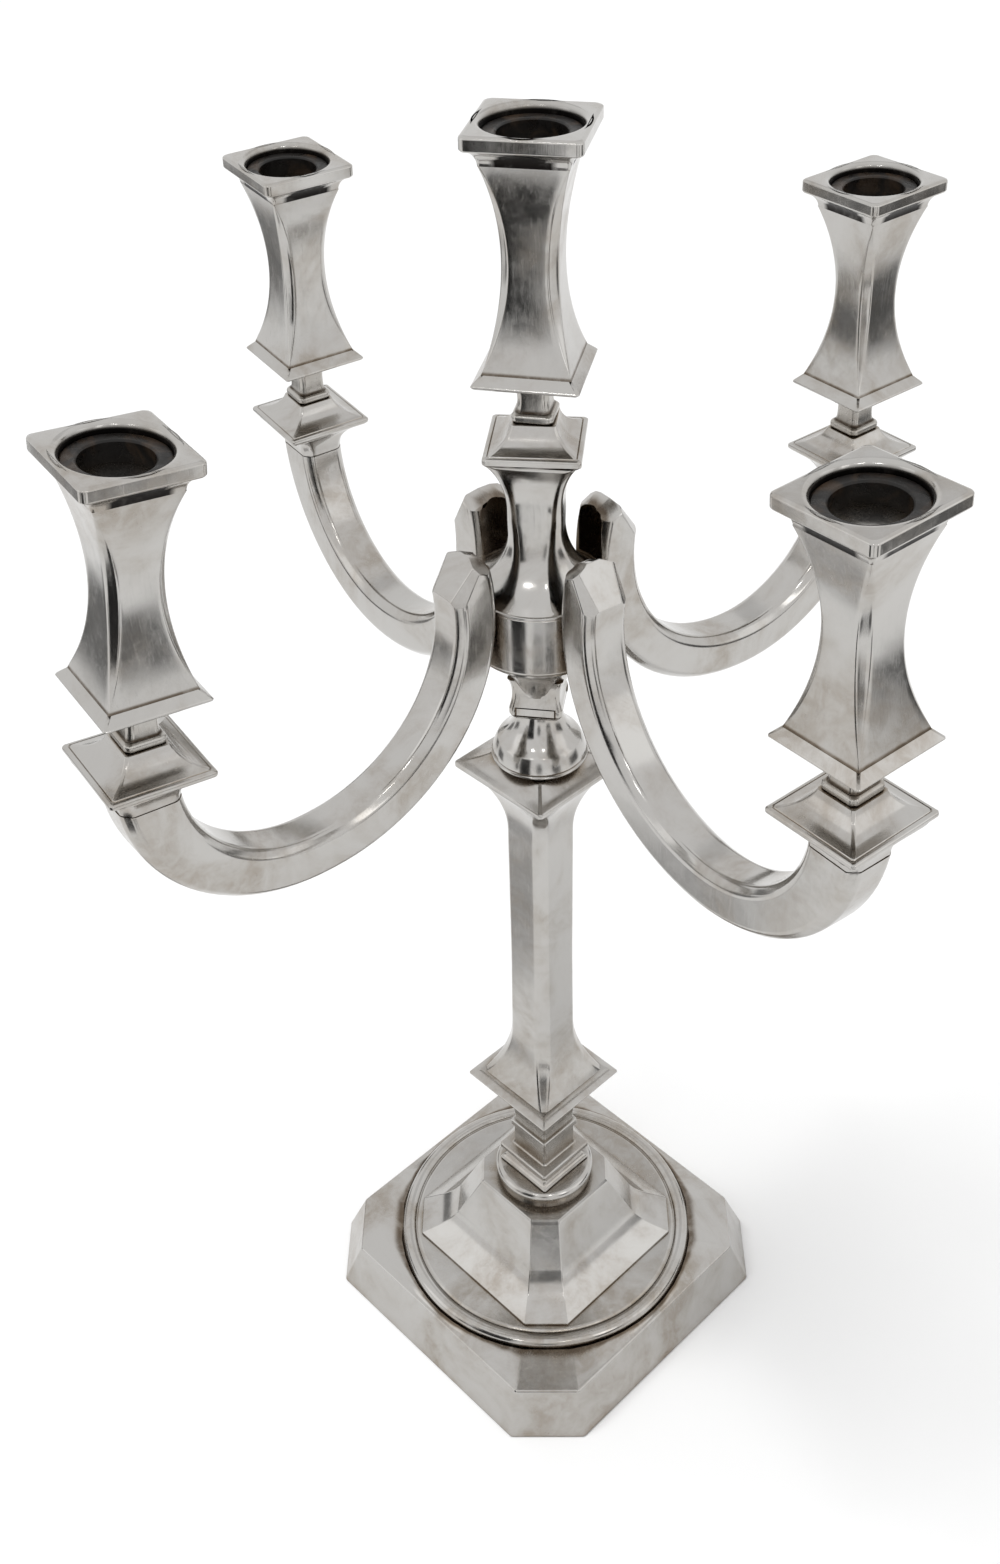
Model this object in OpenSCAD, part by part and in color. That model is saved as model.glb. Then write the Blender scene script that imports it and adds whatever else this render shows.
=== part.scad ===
// Tabletop candelabra: a square column on a stepped foot carries a lift-off branch
// unit with four curved arms and a raised centre light. Every socket unscrews.
// All sizes are millimetres. The origin is the middle of the foot's underside, Z is up.

/* [Foot] */
// Half of the foot's width at the table
foot_half = 76; // [60:1:95]
// Corner cut of the foot at the table, measured along a side
foot_cut = 22; // [10:1:30]
// Half of the foot's width at its top rim
foot_top_half = 68.1; // [55:0.1:90]
// Corner cut at the top rim
foot_top_cut = 18.7; // [8:0.1:28]
// Height of the top rim
foot_rim_z = 21.3; // [15:0.1:30]
// Radius of the groove round the dished disc
groove_r = 65.6; // [55:0.1:66]
// Sheet thickness of the foot
foot_wall = 1.6; // [1:0.1:3]
// Width of the flat hem that stands on the table
hem_w = 4; // [2:0.5:8]

/* [Disc] */
// Outer radius of the dished disc
disc_r = 64.8; // [50:0.1:65.4]
// Radius of the disc's inner step
disc_step_r = 57.6; // [45:0.1:62]
// Height of the disc's rim
disc_z = 26.5; // [24:0.1:32]

/* [Pyramid] */
// Half width of the pyramid at its base
pyramid_half = 45.8; // [35:0.1:55]
// Corner cut at the pyramid's base
pyramid_cut = 13; // [6:0.1:18]
// Half width of the pyramid at its top
pyramid_top_half = 23; // [15:0.1:30]
// Corner cut at the pyramid's top
pyramid_top_cut = 8.3; // [3:0.1:12]
// Height of the pyramid's top
pyramid_top_z = 61.5; // [50:0.1:75]
// How far the pyramid's faces dip below a straight line
pyramid_dip = 4.6; // [1:0.1:6]

/* [Ring and neck] */
// Centre radius of the ring above the pyramid
ring_r = 20; // [15:0.1:24]
// Half thickness of the ring
ring_bead = 2.6; // [2:0.1:5]
// Half width of the square skirt's lower edge
skirt_half = 13.7; // [11:0.1:15]
// Half width of the square neck over the skirt
neck_half = 9.2; // [7:0.1:11]
// Half width of the square slab over the neck
slab_half = 10.1; // [8:0.1:13]

/* [Knop] */
// Half width of the knop plate's sharp edge
knop_half = 21.9; // [18:0.1:26]
// Height of that edge
knop_z = 127; // [120:0.1:135]
// Half width of the knop plate's top
knop_top_half = 17.6; // [14:0.1:20]

/* [Stem] */
// Half width of the column at its middle
stem_half = 10.2; // [8:0.1:13]
// Corner cut of the column at its middle
stem_cut = 3.75; // [2:0.05:5]
// Height of the column's foot
stem_low_z = 129.6; // [125:0.1:140]
// Height of the column's head
stem_top_z = 291; // [260:0.5:320]
// Half width of the thin cap on the column
cap_half = 21.35; // [18:0.05:25]

/* [Branch unit] */
// Turn of the branch unit on the column, degrees
branch_turn = -8.6; // [-45:0.1:45]
// Radius of the round drum that the arms are fixed to
drum_r = 22; // [18:0.1:26]
// Height of the drum's underside
drum_z = 345; // [335:0.5:355]
// Height of the drum's top seam
drum_top_z = 367.6; // [360:0.1:375]
// Half width of the centre column's waist
hub_half = 8.65; // [7:0.05:11]
// Corner cut at that waist
hub_cut = 2.4; // [1:0.1:4]
// Half width of the centre drip pan
centre_pan_half = 14.8; // [12:0.1:18]

/* [Arms] */
// Distance from the middle to an arm's light before its own shift
arm_reach = 142.2; // [120:0.1:160]
// Small turn of each arm about the middle, degrees: front, left, right, back
arm_turn_adjust = [2.5, -0.2, -0.8, -0.1]; // [-5:0.1:5]
// Shift of each arm's light away from the middle: front, left, right, back
arm_shifts = [2.5, 1.6, 0, -1.6]; // [-3:0.1:4]
// Lean of each arm's light towards the middle, degrees: front, left, right, back
lean_in = [5.7, 2.3, 2.6, 1.8]; // [0:0.1:8]
// Lean of each arm's light sideways, degrees: front, left, right, back
lean_side = [2.1, 0.2, -2.7, 1.1]; // [-5:0.1:5]
// Width of an arm
arm_w = 16.4; // [12:0.1:20]
// Corner cut along an arm
arm_cut = 2.6; // [1:0.1:4]
// Half width of an arm's drip pan
arm_pan_half = 16.2; // [13:0.1:20]
// Height of that pan's rim
arm_pan_z = 367.2; // [360:0.1:375]

/* [Sockets] */
// Turn of each socket about its own screw, degrees: front, left, right, back
socket_turns = [-9, -10.7, -7.5, -8.6]; // [-20:0.1:20]
// Turn of the centre socket, degrees
centre_socket_turn = 33.3; // [0:0.1:90]
// Half width of a socket's lip
lip_half = 16.65; // [14:0.05:20]
// Half width of a socket's waist
waist_half = 8.2; // [7:0.1:10]
// Half width of a socket's body at its lower end
body_low_half = 13; // [11:0.1:15]
// Half width of a socket's body at its upper end
body_top_half = 12.5; // [11:0.1:15]
// Radius of the round mouth in the lip
mouth_r = 13.9; // [12:0.1:15]
// Radius of the candle cup
candle_r = 9.7; // [9:0.05:10]
// Straight depth of the candle cup
candle_depth = 10; // [8:0.5:12]

/* [Hidden] */

$fn = 96;
silver = [0.78, 0.77, 0.74];
worn = [0.66, 0.64, 0.6];
dark = [0.12, 0.11, 0.1];
steel = [0.55, 0.55, 0.56];
root2 = sqrt(2);
far = 400;
eps = 0.01;

quarter_turns = [-90, 180, 0, 90];
arm_turns = [for (i = [0:3]) quarter_turns[i] + branch_turn + arm_turn_adjust[i]];
rod_r = 2.5;
rod_hole_r = 2.6;

// heights of the stack
disc_base_z = 23.3;
rod_low_z = 8;
rod_top_z = 141;
washer_t = 1.6;
washer_z = foot_rim_z - foot_wall - washer_t;
nut_h = 4;
ring_z = pyramid_top_z + 5.9;
skirt_z = ring_z + ring_bead;
skirt_step_z = 78;
neck_z = 80.5;
slab_z = 93;
knop_neck_z = 96.5;
knop_under_z = 121;
knop_top_z = 129.6;
cap_z = stem_top_z;
cap_rim_z = cap_z + 0.8;
cap_rim_top_z = cap_rim_z + 1.8;
cap_top_z = cap_z + 6.5;
cap_top_half = 11.6;
cup_floor_z = 274;
bell_z = 298;
block_z = 317.5;
hub_top_z = 415.4;
centre_pan_z = 415.4;
centre_neck_z = 425.6;
arm_neck_z = 376.6;
arm_seam_z = 356.5;
arm_mid_r = 90.25;

// heights inside one socket, from the underside of its base plate
base_edge_z = 0.7;
base_top_z = 3.6;
body_top_z = 62.4;
lip_low_z = 67.1;
lip_top_z = 71.2;
ledge_z = lip_top_z - 3.6;
arm_socket_z = 393;
centre_socket_z = 440;
cup_wall = 0.8;

// the corner distance of a square bar with cut corners
function corner(half, cut) = root2 * half - cut / root2;

// radius of an arc over a chord (dx, dz) that dips by sag at its middle
function arc_r(dx, dz, sag) = (dx * dx + dz * dz) / (8 * sag) + sag / 2;

// square with cut corners
module cut_square(half, cut) {
    polygon([for (q = [0:3], s = [1, -1])
        let (x = half, y = s * (half - cut), a = 90 * q)
        [x * cos(a) - (-y) * sin(a), x * sin(a) + (-y) * cos(a)]]);
}

// bar with cut corners and level ends
module cut_bar(half, cut, z0, z1) {
    translate([0, 0, z0]) linear_extrude(z1 - z0) cut_square(half, cut);
}

// straight frustum with cut corners
module cut_frustum(half0, cut0, z0, half1, cut1, z1) {
    hull() {
        translate([0, 0, z0]) linear_extrude(eps) cut_square(half0, cut0);
        translate([0, 0, z1 - eps]) linear_extrude(eps) cut_square(half1, cut1);
    }
}

// solid whose four faces follow child 0 and whose four corners follow child 1
module four_sided() {
    intersection() {
        rotate([90, 0, 0]) linear_extrude(far, center = true) children(0);
        rotate([90, 0, 90]) linear_extrude(far, center = true) children(0);
        rotate([90, 0, 45]) linear_extrude(far, center = true) children(1);
        rotate([90, 0, 135]) linear_extrude(far, center = true) children(1);
    }
}

// solid whose four faces all follow one outline, with sharp corners
module square_turned() {
    intersection() {
        rotate([90, 0, 0]) linear_extrude(far, center = true) children();
        rotate([90, 0, 90]) linear_extrude(far, center = true) children();
    }
}

// outline symmetric about the Z axis from [half width, height] points, bottom to top
module outline(points) {
    polygon(concat(points, [for (i = [len(points) - 1:-1:0]) [-points[i][0], points[i][1]]]));
}

// two circles that hollow both sides of an outline
module side_arcs(x, z, r) {
    for (s = [-1, 1]) translate([s * (x + r), z]) circle(r);
}

// outline with hollow sides: from half0 at z0 to half1 at z1, touching half_mid at mid_z
module waisted(half0, z0, half1, z1, half_mid, mid_z, r) {
    difference() {
        outline([[half0, z0], [half0, mid_z], [half1, mid_z], [half1, z1]]);
        side_arcs(half_mid, mid_z, r);
    }
}

// ---- foot ----

module foot_shell() color(silver) {
    inner_top = foot_rim_z - foot_wall;
    difference() {
        union() {
            cut_frustum(foot_half, foot_cut, 0, foot_top_half, foot_top_cut, foot_rim_z);
            hull() {
                cut_bar(foot_top_half, foot_top_cut, foot_rim_z - eps, foot_rim_z);
                translate([0, 0, foot_rim_z]) cylinder(r = groove_r, h = disc_base_z - foot_rim_z, $fn = 64);
            }
        }
        cut_frustum(foot_half - foot_wall, foot_cut - 0.4, -eps,
            foot_top_half - foot_wall, foot_top_cut - 0.4, inner_top);
        translate([0, 0, inner_top - 1]) cylinder(r = disc_step_r - 6, h = 10);
    }
    difference() {
        cut_bar(foot_half - 0.6, foot_cut, 0, 1.2);
        translate([0, 0, -1]) cut_bar(foot_half - hem_w, foot_cut - 1.5, 0, 4);
    }
}

module foot_disc() color(silver) {
    edge = 1.6;
    difference() {
        rotate_extrude() union() {
            difference() {
                polygon([[rod_hole_r + 4, disc_base_z], [disc_r, disc_base_z],
                    [disc_r, disc_z - edge], [disc_r - 1.2, disc_z - 0.3], [disc_r - 2.8, disc_z],
                    [disc_step_r + 0.3, disc_z], [disc_step_r, disc_z - 0.5],
                    [pyramid_half, disc_z], [rod_hole_r + 4, disc_z]]);
            }
        }
        translate([0, 0, disc_base_z - 1]) cylinder(r = rod_hole_r + 6, h = 10);
    }
}

module pyramid_form(inset) {
    h = pyramid_top_z - disc_z;
    b = pyramid_half - inset;
    t = pyramid_top_half - inset;
    r = arc_r(b - t, h, pyramid_dip);
    cb = corner(pyramid_half, pyramid_cut) - inset;
    ct = corner(pyramid_top_half, pyramid_top_cut) - inset;
    rc = arc_r(cb - ct, h, pyramid_dip);
    four_sided() {
        hollow_slope(b, t, h, r);
        hollow_slope(cb, ct, h, rc);
    }
}

// slope from half width b at the base to t at height h, its sides hollowed by arcs of radius r
module hollow_slope(b, t, h, r) {
    chord = norm([b - t, h]);
    reach = sqrt(r * r - chord * chord / 4);
    cx = (b + t) / 2 + reach * h / chord;
    cz = h / 2 + reach * (b - t) / chord;
    translate([0, disc_z]) difference() {
        outline([[b + 4, 0], [b + 4, h]]);
        for (s = [-1, 1]) translate([s * cx, cz]) circle(r);
    }
}

module foot_pyramid() color(silver) {
    wall = 1.6;
    difference() {
        pyramid_form(0);
        translate([0, 0, -wall]) pyramid_form(wall);
        translate([0, 0, disc_z]) cylinder(r = rod_hole_r, h = far);
    }
}

module foot_ring() color(silver) {
    difference() {
        union() {
            translate([0, 0, ring_z]) rotate_extrude() translate([ring_r, 0]) circle(ring_bead);
            translate([0, 0, pyramid_top_z]) cylinder(r = ring_r - 0.6, h = skirt_z - pyramid_top_z);
        }
        translate([0, 0, pyramid_top_z - 1]) cylinder(r = rod_hole_r, h = far);
    }
}

module foot_skirt() color(silver) {
    step_h = neck_z - skirt_step_z;
    scotia = 3.6;
    mid = (skirt_z + 1.4 + skirt_step_z) / 2;
    difference() {
        square_turned() difference() {
            outline([[skirt_half, skirt_z], [skirt_half, neck_z - 0.8], [skirt_half - 0.8, neck_z],
                [neck_half, neck_z], [neck_half, slab_z]]);
            side_arcs(11.7, mid, scotia);
        }
        translate([0, 0, skirt_z - 1]) cylinder(r = rod_hole_r, h = far);
    }
}

module neck_slab() color(silver) {
    difference() {
        square_turned() outline([[slab_half - 0.5, slab_z], [slab_half, slab_z + 0.5],
            [slab_half, knop_neck_z - 0.5], [slab_half - 0.5, knop_neck_z]]);
        translate([0, 0, slab_z - 1]) cylinder(r = rod_hole_r, h = 10);
    }
}

module knop_neck() color(worn) {
    low = 9;
    r = 35;
    difference() {
        square_turned() difference() {
            outline([[17.6, knop_neck_z], [17.6, knop_under_z]]);
            side_arcs(low, knop_neck_z + 2, r);
        }
        translate([0, 0, knop_neck_z - 1]) cylinder(r = rod_hole_r, h = far);
    }
}

module knop_plate() color(silver) {
    difference() {
        square_turned() outline([[17.6, knop_under_z], [knop_half, knop_z - 0.4],
            [knop_half, knop_z + 0.2], [knop_top_half + 0.2, knop_top_z]]);
        translate([0, 0, knop_under_z - 1]) cylinder(r = rod_hole_r, h = far);
    }
}

// ---- column ----

// the column's outline: a straight shaft that flares at both ends
module stem_outline(half, half_mid_z, r_low, z_low, r_top, z_top) {
    difference() {
        outline([[30, stem_low_z], [30, stem_top_z]]);
        for (s = [-1, 1]) {
            translate([s * (half + 0.4 + r_low), z_low]) circle(r_low);
            translate([s * (half + r_top), z_top]) circle(r_top);
            polygon([[s * (half + 0.4), z_low], [s * half, half_mid_z], [s * half, z_top],
                [s * 60, z_top], [s * 60, z_low]]);
        }
    }
}

module stem_column() color(silver) {
    diag = corner(stem_half, stem_cut);
    difference() {
        four_sided() {
            stem_outline(stem_half, 200, 65.2, 159, 43.8, 264);
            stem_outline(diag, 200, 43.9, 159, 32.2, 264);
        }
        translate([0, 0, stem_low_z - 1]) cylinder(r = rod_hole_r, h = rod_top_z + 2 - stem_low_z);
        translate([0, 0, cup_floor_z]) cylinder(r = candle_r + cup_wall, h = far);
    }
}

module stem_cap() color(silver) {
    difference() {
        square_turned() outline([[cap_half - 0.5, cap_z], [cap_half, cap_z + 0.6],
            [cap_half, cap_rim_top_z - 0.3], [cap_half - 0.4, cap_rim_top_z],
            [cap_top_half, cap_top_z]]);
        translate([0, 0, cap_z - 1]) cylinder(r = candle_r + cup_wall, h = far);
    }
}

// liner of the column's own candle hole, which takes the branch unit's plug
module stem_cup() color(worn) {
    difference() {
        translate([0, 0, cup_floor_z]) cylinder(r = candle_r + cup_wall, h = cap_top_z - cup_floor_z);
        translate([0, 0, cup_floor_z + 1.5]) cylinder(r = candle_r, h = far);
    }
}

// rod that is screwed into the column's foot and draws the whole stack together
module tie_rod() color(steel) {
    translate([0, 0, rod_low_z]) cylinder(r = rod_r, h = rod_top_z - rod_low_z);
}

module rod_washer() color(steel) {
    difference() {
        translate([0, 0, washer_z]) cylinder(r = disc_step_r, h = washer_t);
        translate([0, 0, washer_z - 1]) cylinder(r = rod_hole_r, h = 8);
    }
}

module rod_nut() color(steel) {
    difference() {
        translate([0, 0, washer_z - nut_h]) cylinder(r = 4.9, h = nut_h, $fn = 6);
        translate([0, 0, washer_z - nut_h - 1]) cylinder(r = rod_r, h = 12);
    }
}

// ---- branch unit ----

plug_clear = 0.08;
plug_z = cup_floor_z + 4.6;
spigot_r = 6;
spigot_clear = 0.05;

module branch_plug() color(worn) {
    chamfer = 0.8;
    plug_r = candle_r - plug_clear;
    flange_r = 11.3;
    rotate_extrude() polygon([[0, plug_z], [plug_r - chamfer, plug_z], [plug_r, plug_z + chamfer],
        [plug_r, cap_top_z], [flange_r, cap_top_z], [flange_r, bell_z], [spigot_r, bell_z],
        [spigot_r, block_z], [0, block_z]]);
}

module turned_branch() {
    rotate([0, 0, 45 + branch_turn]) children();
}

// domed flank below, hollow neck above, thin rim at the foot
module bell() color(silver) {
    neck_r = 8;
    hollow_r = 12.2;
    dome_r = 15.5;
    h = block_z - bell_z;
    difference() {
        rotate_extrude() {
            difference() {
                intersection() {
                    translate([0, bell_z]) square([18, h]);
                    union() {
                        translate([1, bell_z - 0.5]) circle(dome_r);
                        translate([0, bell_z]) square([11.9, h]);
                    }
                }
                translate([neck_r + hollow_r, block_z]) circle(hollow_r);
            }
            polygon([[0, bell_z], [16.2, bell_z], [16.8, bell_z + 0.4], [16.8, bell_z + 1.1],
                [16.3, bell_z + 1.5], [0, bell_z + 1.5]]);
        }
        translate([0, 0, bell_z - 1]) cylinder(r = spigot_r + spigot_clear, h = far);
    }
}

// square block: a sunk panel in each face, a hollow waist, and a cone that carries the drum
module block() color(silver) {
    waist = 8.05;
    cut = 1.1;
    panel_w = 13.9;
    panel_h = 3.8;
    panel_z = 321.4;
    panel_depth = 0.5;
    top_r = drum_r - 0.6;
    turned_branch() difference() {
        intersection() {
            union() {
                four_sided() {
                    block_outline(0, 1, waist, cut);
                    block_outline(cut, root2, waist, cut);
                }
                rotate_extrude() difference() {
                    translate([0, 325]) square([30, drum_z - 325]);
                    translate([38.9, 318.7]) circle(31.8);
                }
            }
            translate([0, 0, block_z]) cylinder(r = top_r, h = drum_z - block_z);
        }
        for (q = [0:3]) rotate([0, 0, 90 * q])
            translate([9 - panel_depth, -panel_w / 2, panel_z - panel_h / 2]) cube([2, panel_w, panel_h]);
    }
}

// a face's outline, or with k = root2 the outline over its corners
module block_outline(cut_off, k, waist, cut) {
    c = cut_off / root2;
    r = 17 * k;
    difference() {
        outline([[7.9 * k - c, block_z], [8.5 * k - c, block_z + 0.9], [9 * k - c, block_z + 2.1],
            [9 * k - c, block_z + 4.5], [26 * k, block_z + 4.5], [26 * k, drum_z]]);
        side_arcs(waist * k - c, 327.5, r);
    }
}

module drum() color(silver) {
    bead = 0.7;
    rotate_extrude() polygon([[0, drum_z], [drum_r - 0.6, drum_z], [drum_r, drum_z + 0.6],
        [drum_r, drum_top_z - 2 * bead], [drum_r - 0.3, drum_top_z - 1.6 * bead],
        [drum_r - 0.3, drum_top_z - 1.2 * bead], [drum_r, drum_top_z - bead],
        [drum_r, drum_top_z - 0.2], [drum_r - 0.2, drum_top_z], [0, drum_top_z]]);
}

// the centre column: square with cut corners at its waist, round where it meets the drum
module hub_column() color(silver) {
    edge = corner(hub_half, hub_cut);
    cone_sum = 388.8;
    turned_branch() difference() {
        intersection() {
            four_sided() {
                hub_outline(hub_half, 388.5, 20.9, 396.5, 34, centre_pan_half - 0.9);
                hub_outline(edge, 385, 17, 394.5, 29.5, (centre_pan_half - 0.9) * root2);
            }
            rotate_extrude() difference() {
                polygon([[0, drum_top_z], [drum_r, drum_top_z], [drum_r, 386], [26, 386], [26, hub_top_z], [0, hub_top_z]]);
                intersection() {
                    translate([10.6 + 19, 386]) circle(19);
                    translate([0, 350]) square([60, 36]);
                }
                // the flare ends in a straight slope of 45 degrees
                polygon([[17, cone_sum - 17], [23, cone_sum - 23], [60, cone_sum - 23], [60, 386], [29.6, 386]]);
            }
        }
        translate([0, 0, centre_neck_z - centre_stud_l - 1]) cylinder(r = stud_hole_r, h = far);
    }
}

// hollow outline with one arc below the straight waist and one above it
module hub_outline(half, low_z, r_low, high_z, r_high, top_half) {
    difference() {
        outline([[drum_r + 20, drum_top_z], [drum_r + 20, low_z], [half, low_z], [half, high_z],
            [top_half, high_z], [top_half, hub_top_z]]);
        for (s = [-1, 1]) {
            intersection() {
                translate([s * (half + r_low), low_z]) circle(r_low);
                translate([-70, low_z - 40]) square([140, 40]);
            }
            intersection() {
                translate([s * (half + r_high), high_z]) circle(r_high);
                translate([-70, high_z]) square([140, 40]);
            }
        }
    }
}

// drip pan: square rim that slopes in at its foot, hollow hipped top
module pan_top(half, z, rim, top_half, rise, r) {
    dx = half - top_half;
    chord = norm([dx, rise]);
    reach = sqrt(r * r - chord * chord / 4);
    difference() {
        outline([[half - 0.8, z], [half, z + 0.9], [half, z + rim], [top_half, z + rim + rise]]);
        for (s = [-1, 1]) translate([s * ((half + top_half) / 2 + reach * rise / chord),
            z + rim + rise / 2 + reach * dx / chord]) circle(r);
    }
}

module centre_pan() color(silver) {
    rim = 2.9;
    turned_centre() difference() {
        square_turned() pan_top(centre_pan_half, centre_pan_z, rim, 6.5, centre_neck_z - centre_pan_z - rim, 18);
        translate([0, 0, centre_pan_z - 1]) cylinder(r = stud_hole_r, h = 20);
    }
}

module turned_centre() {
    rotate([0, 0, 39.3]) children();
}

// ---- arms ----

// wheel about the arm's arc axis, its rim cut at both corners
module cut_wheel(r, grow, half, z) {
    translate([arm_mid_r, 0, z]) rotate([90, 0, 0]) rotate_extrude()
        polygon([[0, -half], [r - arm_cut * grow, -half], [r, -half + arm_cut], [r, half - arm_cut],
            [r - arm_cut * grow, half], [0, half]]);
}

// one arm, pointing along +X before it is turned; grow adds a straight piece at its lowest point
module arm_form(grow) {
    half = arm_w / 2;
    wide = half + 1;
    difference() {
        intersection() {
            cut_wheel(66.5 + arm_cut, 1, half, 368.7);
            translate([0, -half, 290]) cube([arm_mid_r, arm_w, 110]);
        }
        // hollow of the inner half
        intersection() {
            cutter_wheel(55.8 - arm_cut, 369.3);
            translate([0, -wide, 290]) cube([arm_mid_r + 1, 2 * wide, 130]);
        }
        // everything past the sloped tip, and the tip's two cut edges
        arm_tip_cut();
        arm_tip_edges();
    }
    translate([grow, 0, 0]) difference() {
        intersection() {
            cut_wheel(59.4 + arm_cut, 1, half, 361.6);
            translate([arm_mid_r, -half, 290]) cube([90, arm_w, arm_seam_z + 4 - 290]);
        }
        cutter_wheel(45.1 - arm_cut, 358.6);
    }
    if (grow > 0) translate([arm_mid_r, 0, (arm_low_z + arm_bed_z) / 2]) rotate([90, 0, 90])
        linear_extrude(grow) rectangle_cut(half, (arm_bed_z - arm_low_z) / 2, arm_cut);
}

arm_low_z = 299.6;
arm_bed_z = 316.1;

// rectangle with cut corners, given by its half width and half height
module rectangle_cut(w, h, cut) {
    polygon([[-w, cut - h], [cut - w, -h], [w - cut, -h], [w, cut - h],
        [w, h - cut], [w - cut, h], [cut - w, h], [-w, h - cut]]);
}

// the cutter that shapes an arm's inner faces and their cut corners
module cutter_wheel(r, z) {
    half = arm_w / 2;
    translate([arm_mid_r, 0, z]) rotate([90, 0, 0]) rotate_extrude()
        polygon([[0, -half - 2], [r + arm_cut + 2, -half - 2], [r, -half + arm_cut], [r, half - arm_cut],
            [r + arm_cut + 2, half + 2], [0, half + 2]]);
}

tip_low = [40.5, 373.5];
tip_top = [28.5, 389.6];

module arm_tip_cut() {
    translate([0, arm_w, 0]) rotate([90, 0, 0]) linear_extrude(2 * arm_w)
        polygon([tip_low, [30.4, 387], [25.2, 390], [18, 391], [18, 420], [arm_mid_r + 1, 420], [arm_mid_r + 1, 374]]);
}

// cut edges down both sides of the tip's sloping end
module arm_tip_edges() {
    slope = tip_top - tip_low;
    side = 2.4;
    for (s = [-1, 1]) translate([tip_low[0], s * arm_w / 2, tip_low[1]])
        rotate([0, -atan2(slope[1], slope[0]), 0]) translate([12, 0, 0]) rotate([45, 0, 0])
            cube([40, side * root2, side * root2], center = true);
}

// the pocket in the hub side of a tip, and the flat that seats on the drum
module arm_pocket() {
    pocket_w = 11.6;
    translate([14, -pocket_w / 2, drum_top_z + 1]) cube([15.5, pocket_w, 18]);
    translate([28, 0, 382]) rotate([0, 90, 0]) cylinder(r = 1.5, h = 3.5);
}

module arm_seat() {
    translate([0, 0, 290]) cylinder(r = drum_r, h = 91);
}

// the plane where an arm's light leans
module at_seam(i) {
    translate([arm_reach + arm_shifts[i], 0, arm_seam_z]) rotate([-lean_side[i], -lean_in[i], 0]) children();
}

module arm(i) color(silver) rotate([0, 0, arm_turns[i]]) difference() {
    translate([min(arm_shifts[i], 0), 0, 0]) arm_form(max(arm_shifts[i], 0));
    arm_pocket();
    arm_seat();
    translate([drum_r - 8, 0, screw_z]) rotate([0, 90, 0]) cylinder(r = screw_r, h = 16);
    at_seam(i) translate([-30, -30, 0]) cube([60, 60, 30]);
}

screw_z = 362;
screw_r = 1.6;

module arm_screws() color(steel) for (a = arm_turns) rotate([0, 0, a]) {
    translate([drum_r - 6, 0, screw_z]) rotate([0, 90, 0]) cylinder(r = screw_r, h = 10);
}

module arm_front() arm(0);
module arm_left() arm(1);
module arm_right() arm(2);
module arm_back() arm(3);

// drip pan of an arm, with the flared collar under it
module arm_pan(i) color(silver) {
    rim = 2.4;
    rise = arm_neck_z - arm_pan_z - rim;
    rotate([0, 0, arm_turns[i]]) at_seam(i) translate([0, 0, -arm_seam_z]) difference() {
        union() {
            rotate([0, 0, socket_turns[i] - branch_turn - arm_turn_adjust[i]])
                square_turned() pan_top(arm_pan_half, arm_pan_z, rim, 6.5, rise, 18);
            collar_form();
        }
        translate([0, 0, arm_neck_z - arm_stud_l - 1]) cylinder(r = stud_hole_r, h = far);
    }
}

// collar that carries on the arm's section and spreads under the pan
module collar_form() {
    long_half = 9.6;
    wide_half = arm_w / 2 - 0.05;
    top = arm_pan_half - 1.2;
    translate([0.15, 0, 0]) intersection() {
        rotate([90, 0, 0]) linear_extrude(far, center = true) collar_outline(long_half, 12.5, top);
        rotate([90, 0, 90]) linear_extrude(far, center = true) collar_outline(wide_half, 11.2, top);
        for (a = [45, 135]) rotate([90, 0, a]) linear_extrude(far, center = true)
            collar_outline((long_half + wide_half - arm_cut) / root2, 10.5, top * root2);
    }
}

module collar_outline(half, r, top_half) {
    difference() {
        outline([[top_half, arm_seam_z], [top_half, arm_pan_z + 0.5]]);
        side_arcs(half, arm_seam_z, r);
    }
}

module pan_front() arm_pan(0);
module pan_left() arm_pan(1);
module pan_right() arm_pan(2);
module pan_back() arm_pan(3);

// ---- sockets ----

stud_r = 2.5;
stud_hole_r = 2.56;
arm_stud_l = 14;
centre_stud_l = 16;

module at_arm(i) {
    rotate([0, 0, arm_turns[i]]) at_seam(i) translate([0, 0, arm_socket_z - arm_seam_z])
        rotate([0, 0, socket_turns[i] - arm_turns[i]]) children();
}

module at_centre() {
    translate([0, 0, centre_socket_z]) rotate([0, 0, centre_socket_turn]) children();
}

module socket_body() color(silver) {
    waist_z = 34;
    cup_r = candle_r + cup_wall;
    straight_z = ledge_z - candle_depth;
    cut_w = 2.45;
    difference() {
        four_sided() {
            waisted(body_low_half, base_top_z, body_top_half, body_top_z, waist_half, waist_z, 96.8);
            waisted(body_low_half * root2, base_top_z, body_top_half * root2, body_top_z,
                corner(waist_half, cut_w), waist_z, 56.8);
        }
        translate([0, 0, straight_z]) cylinder(r = cup_r, h = far);
        translate([0, 0, straight_z - candle_depth]) cylinder(r1 = cup_r - 2.6, r2 = cup_r, h = candle_depth);
    }
}

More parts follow.
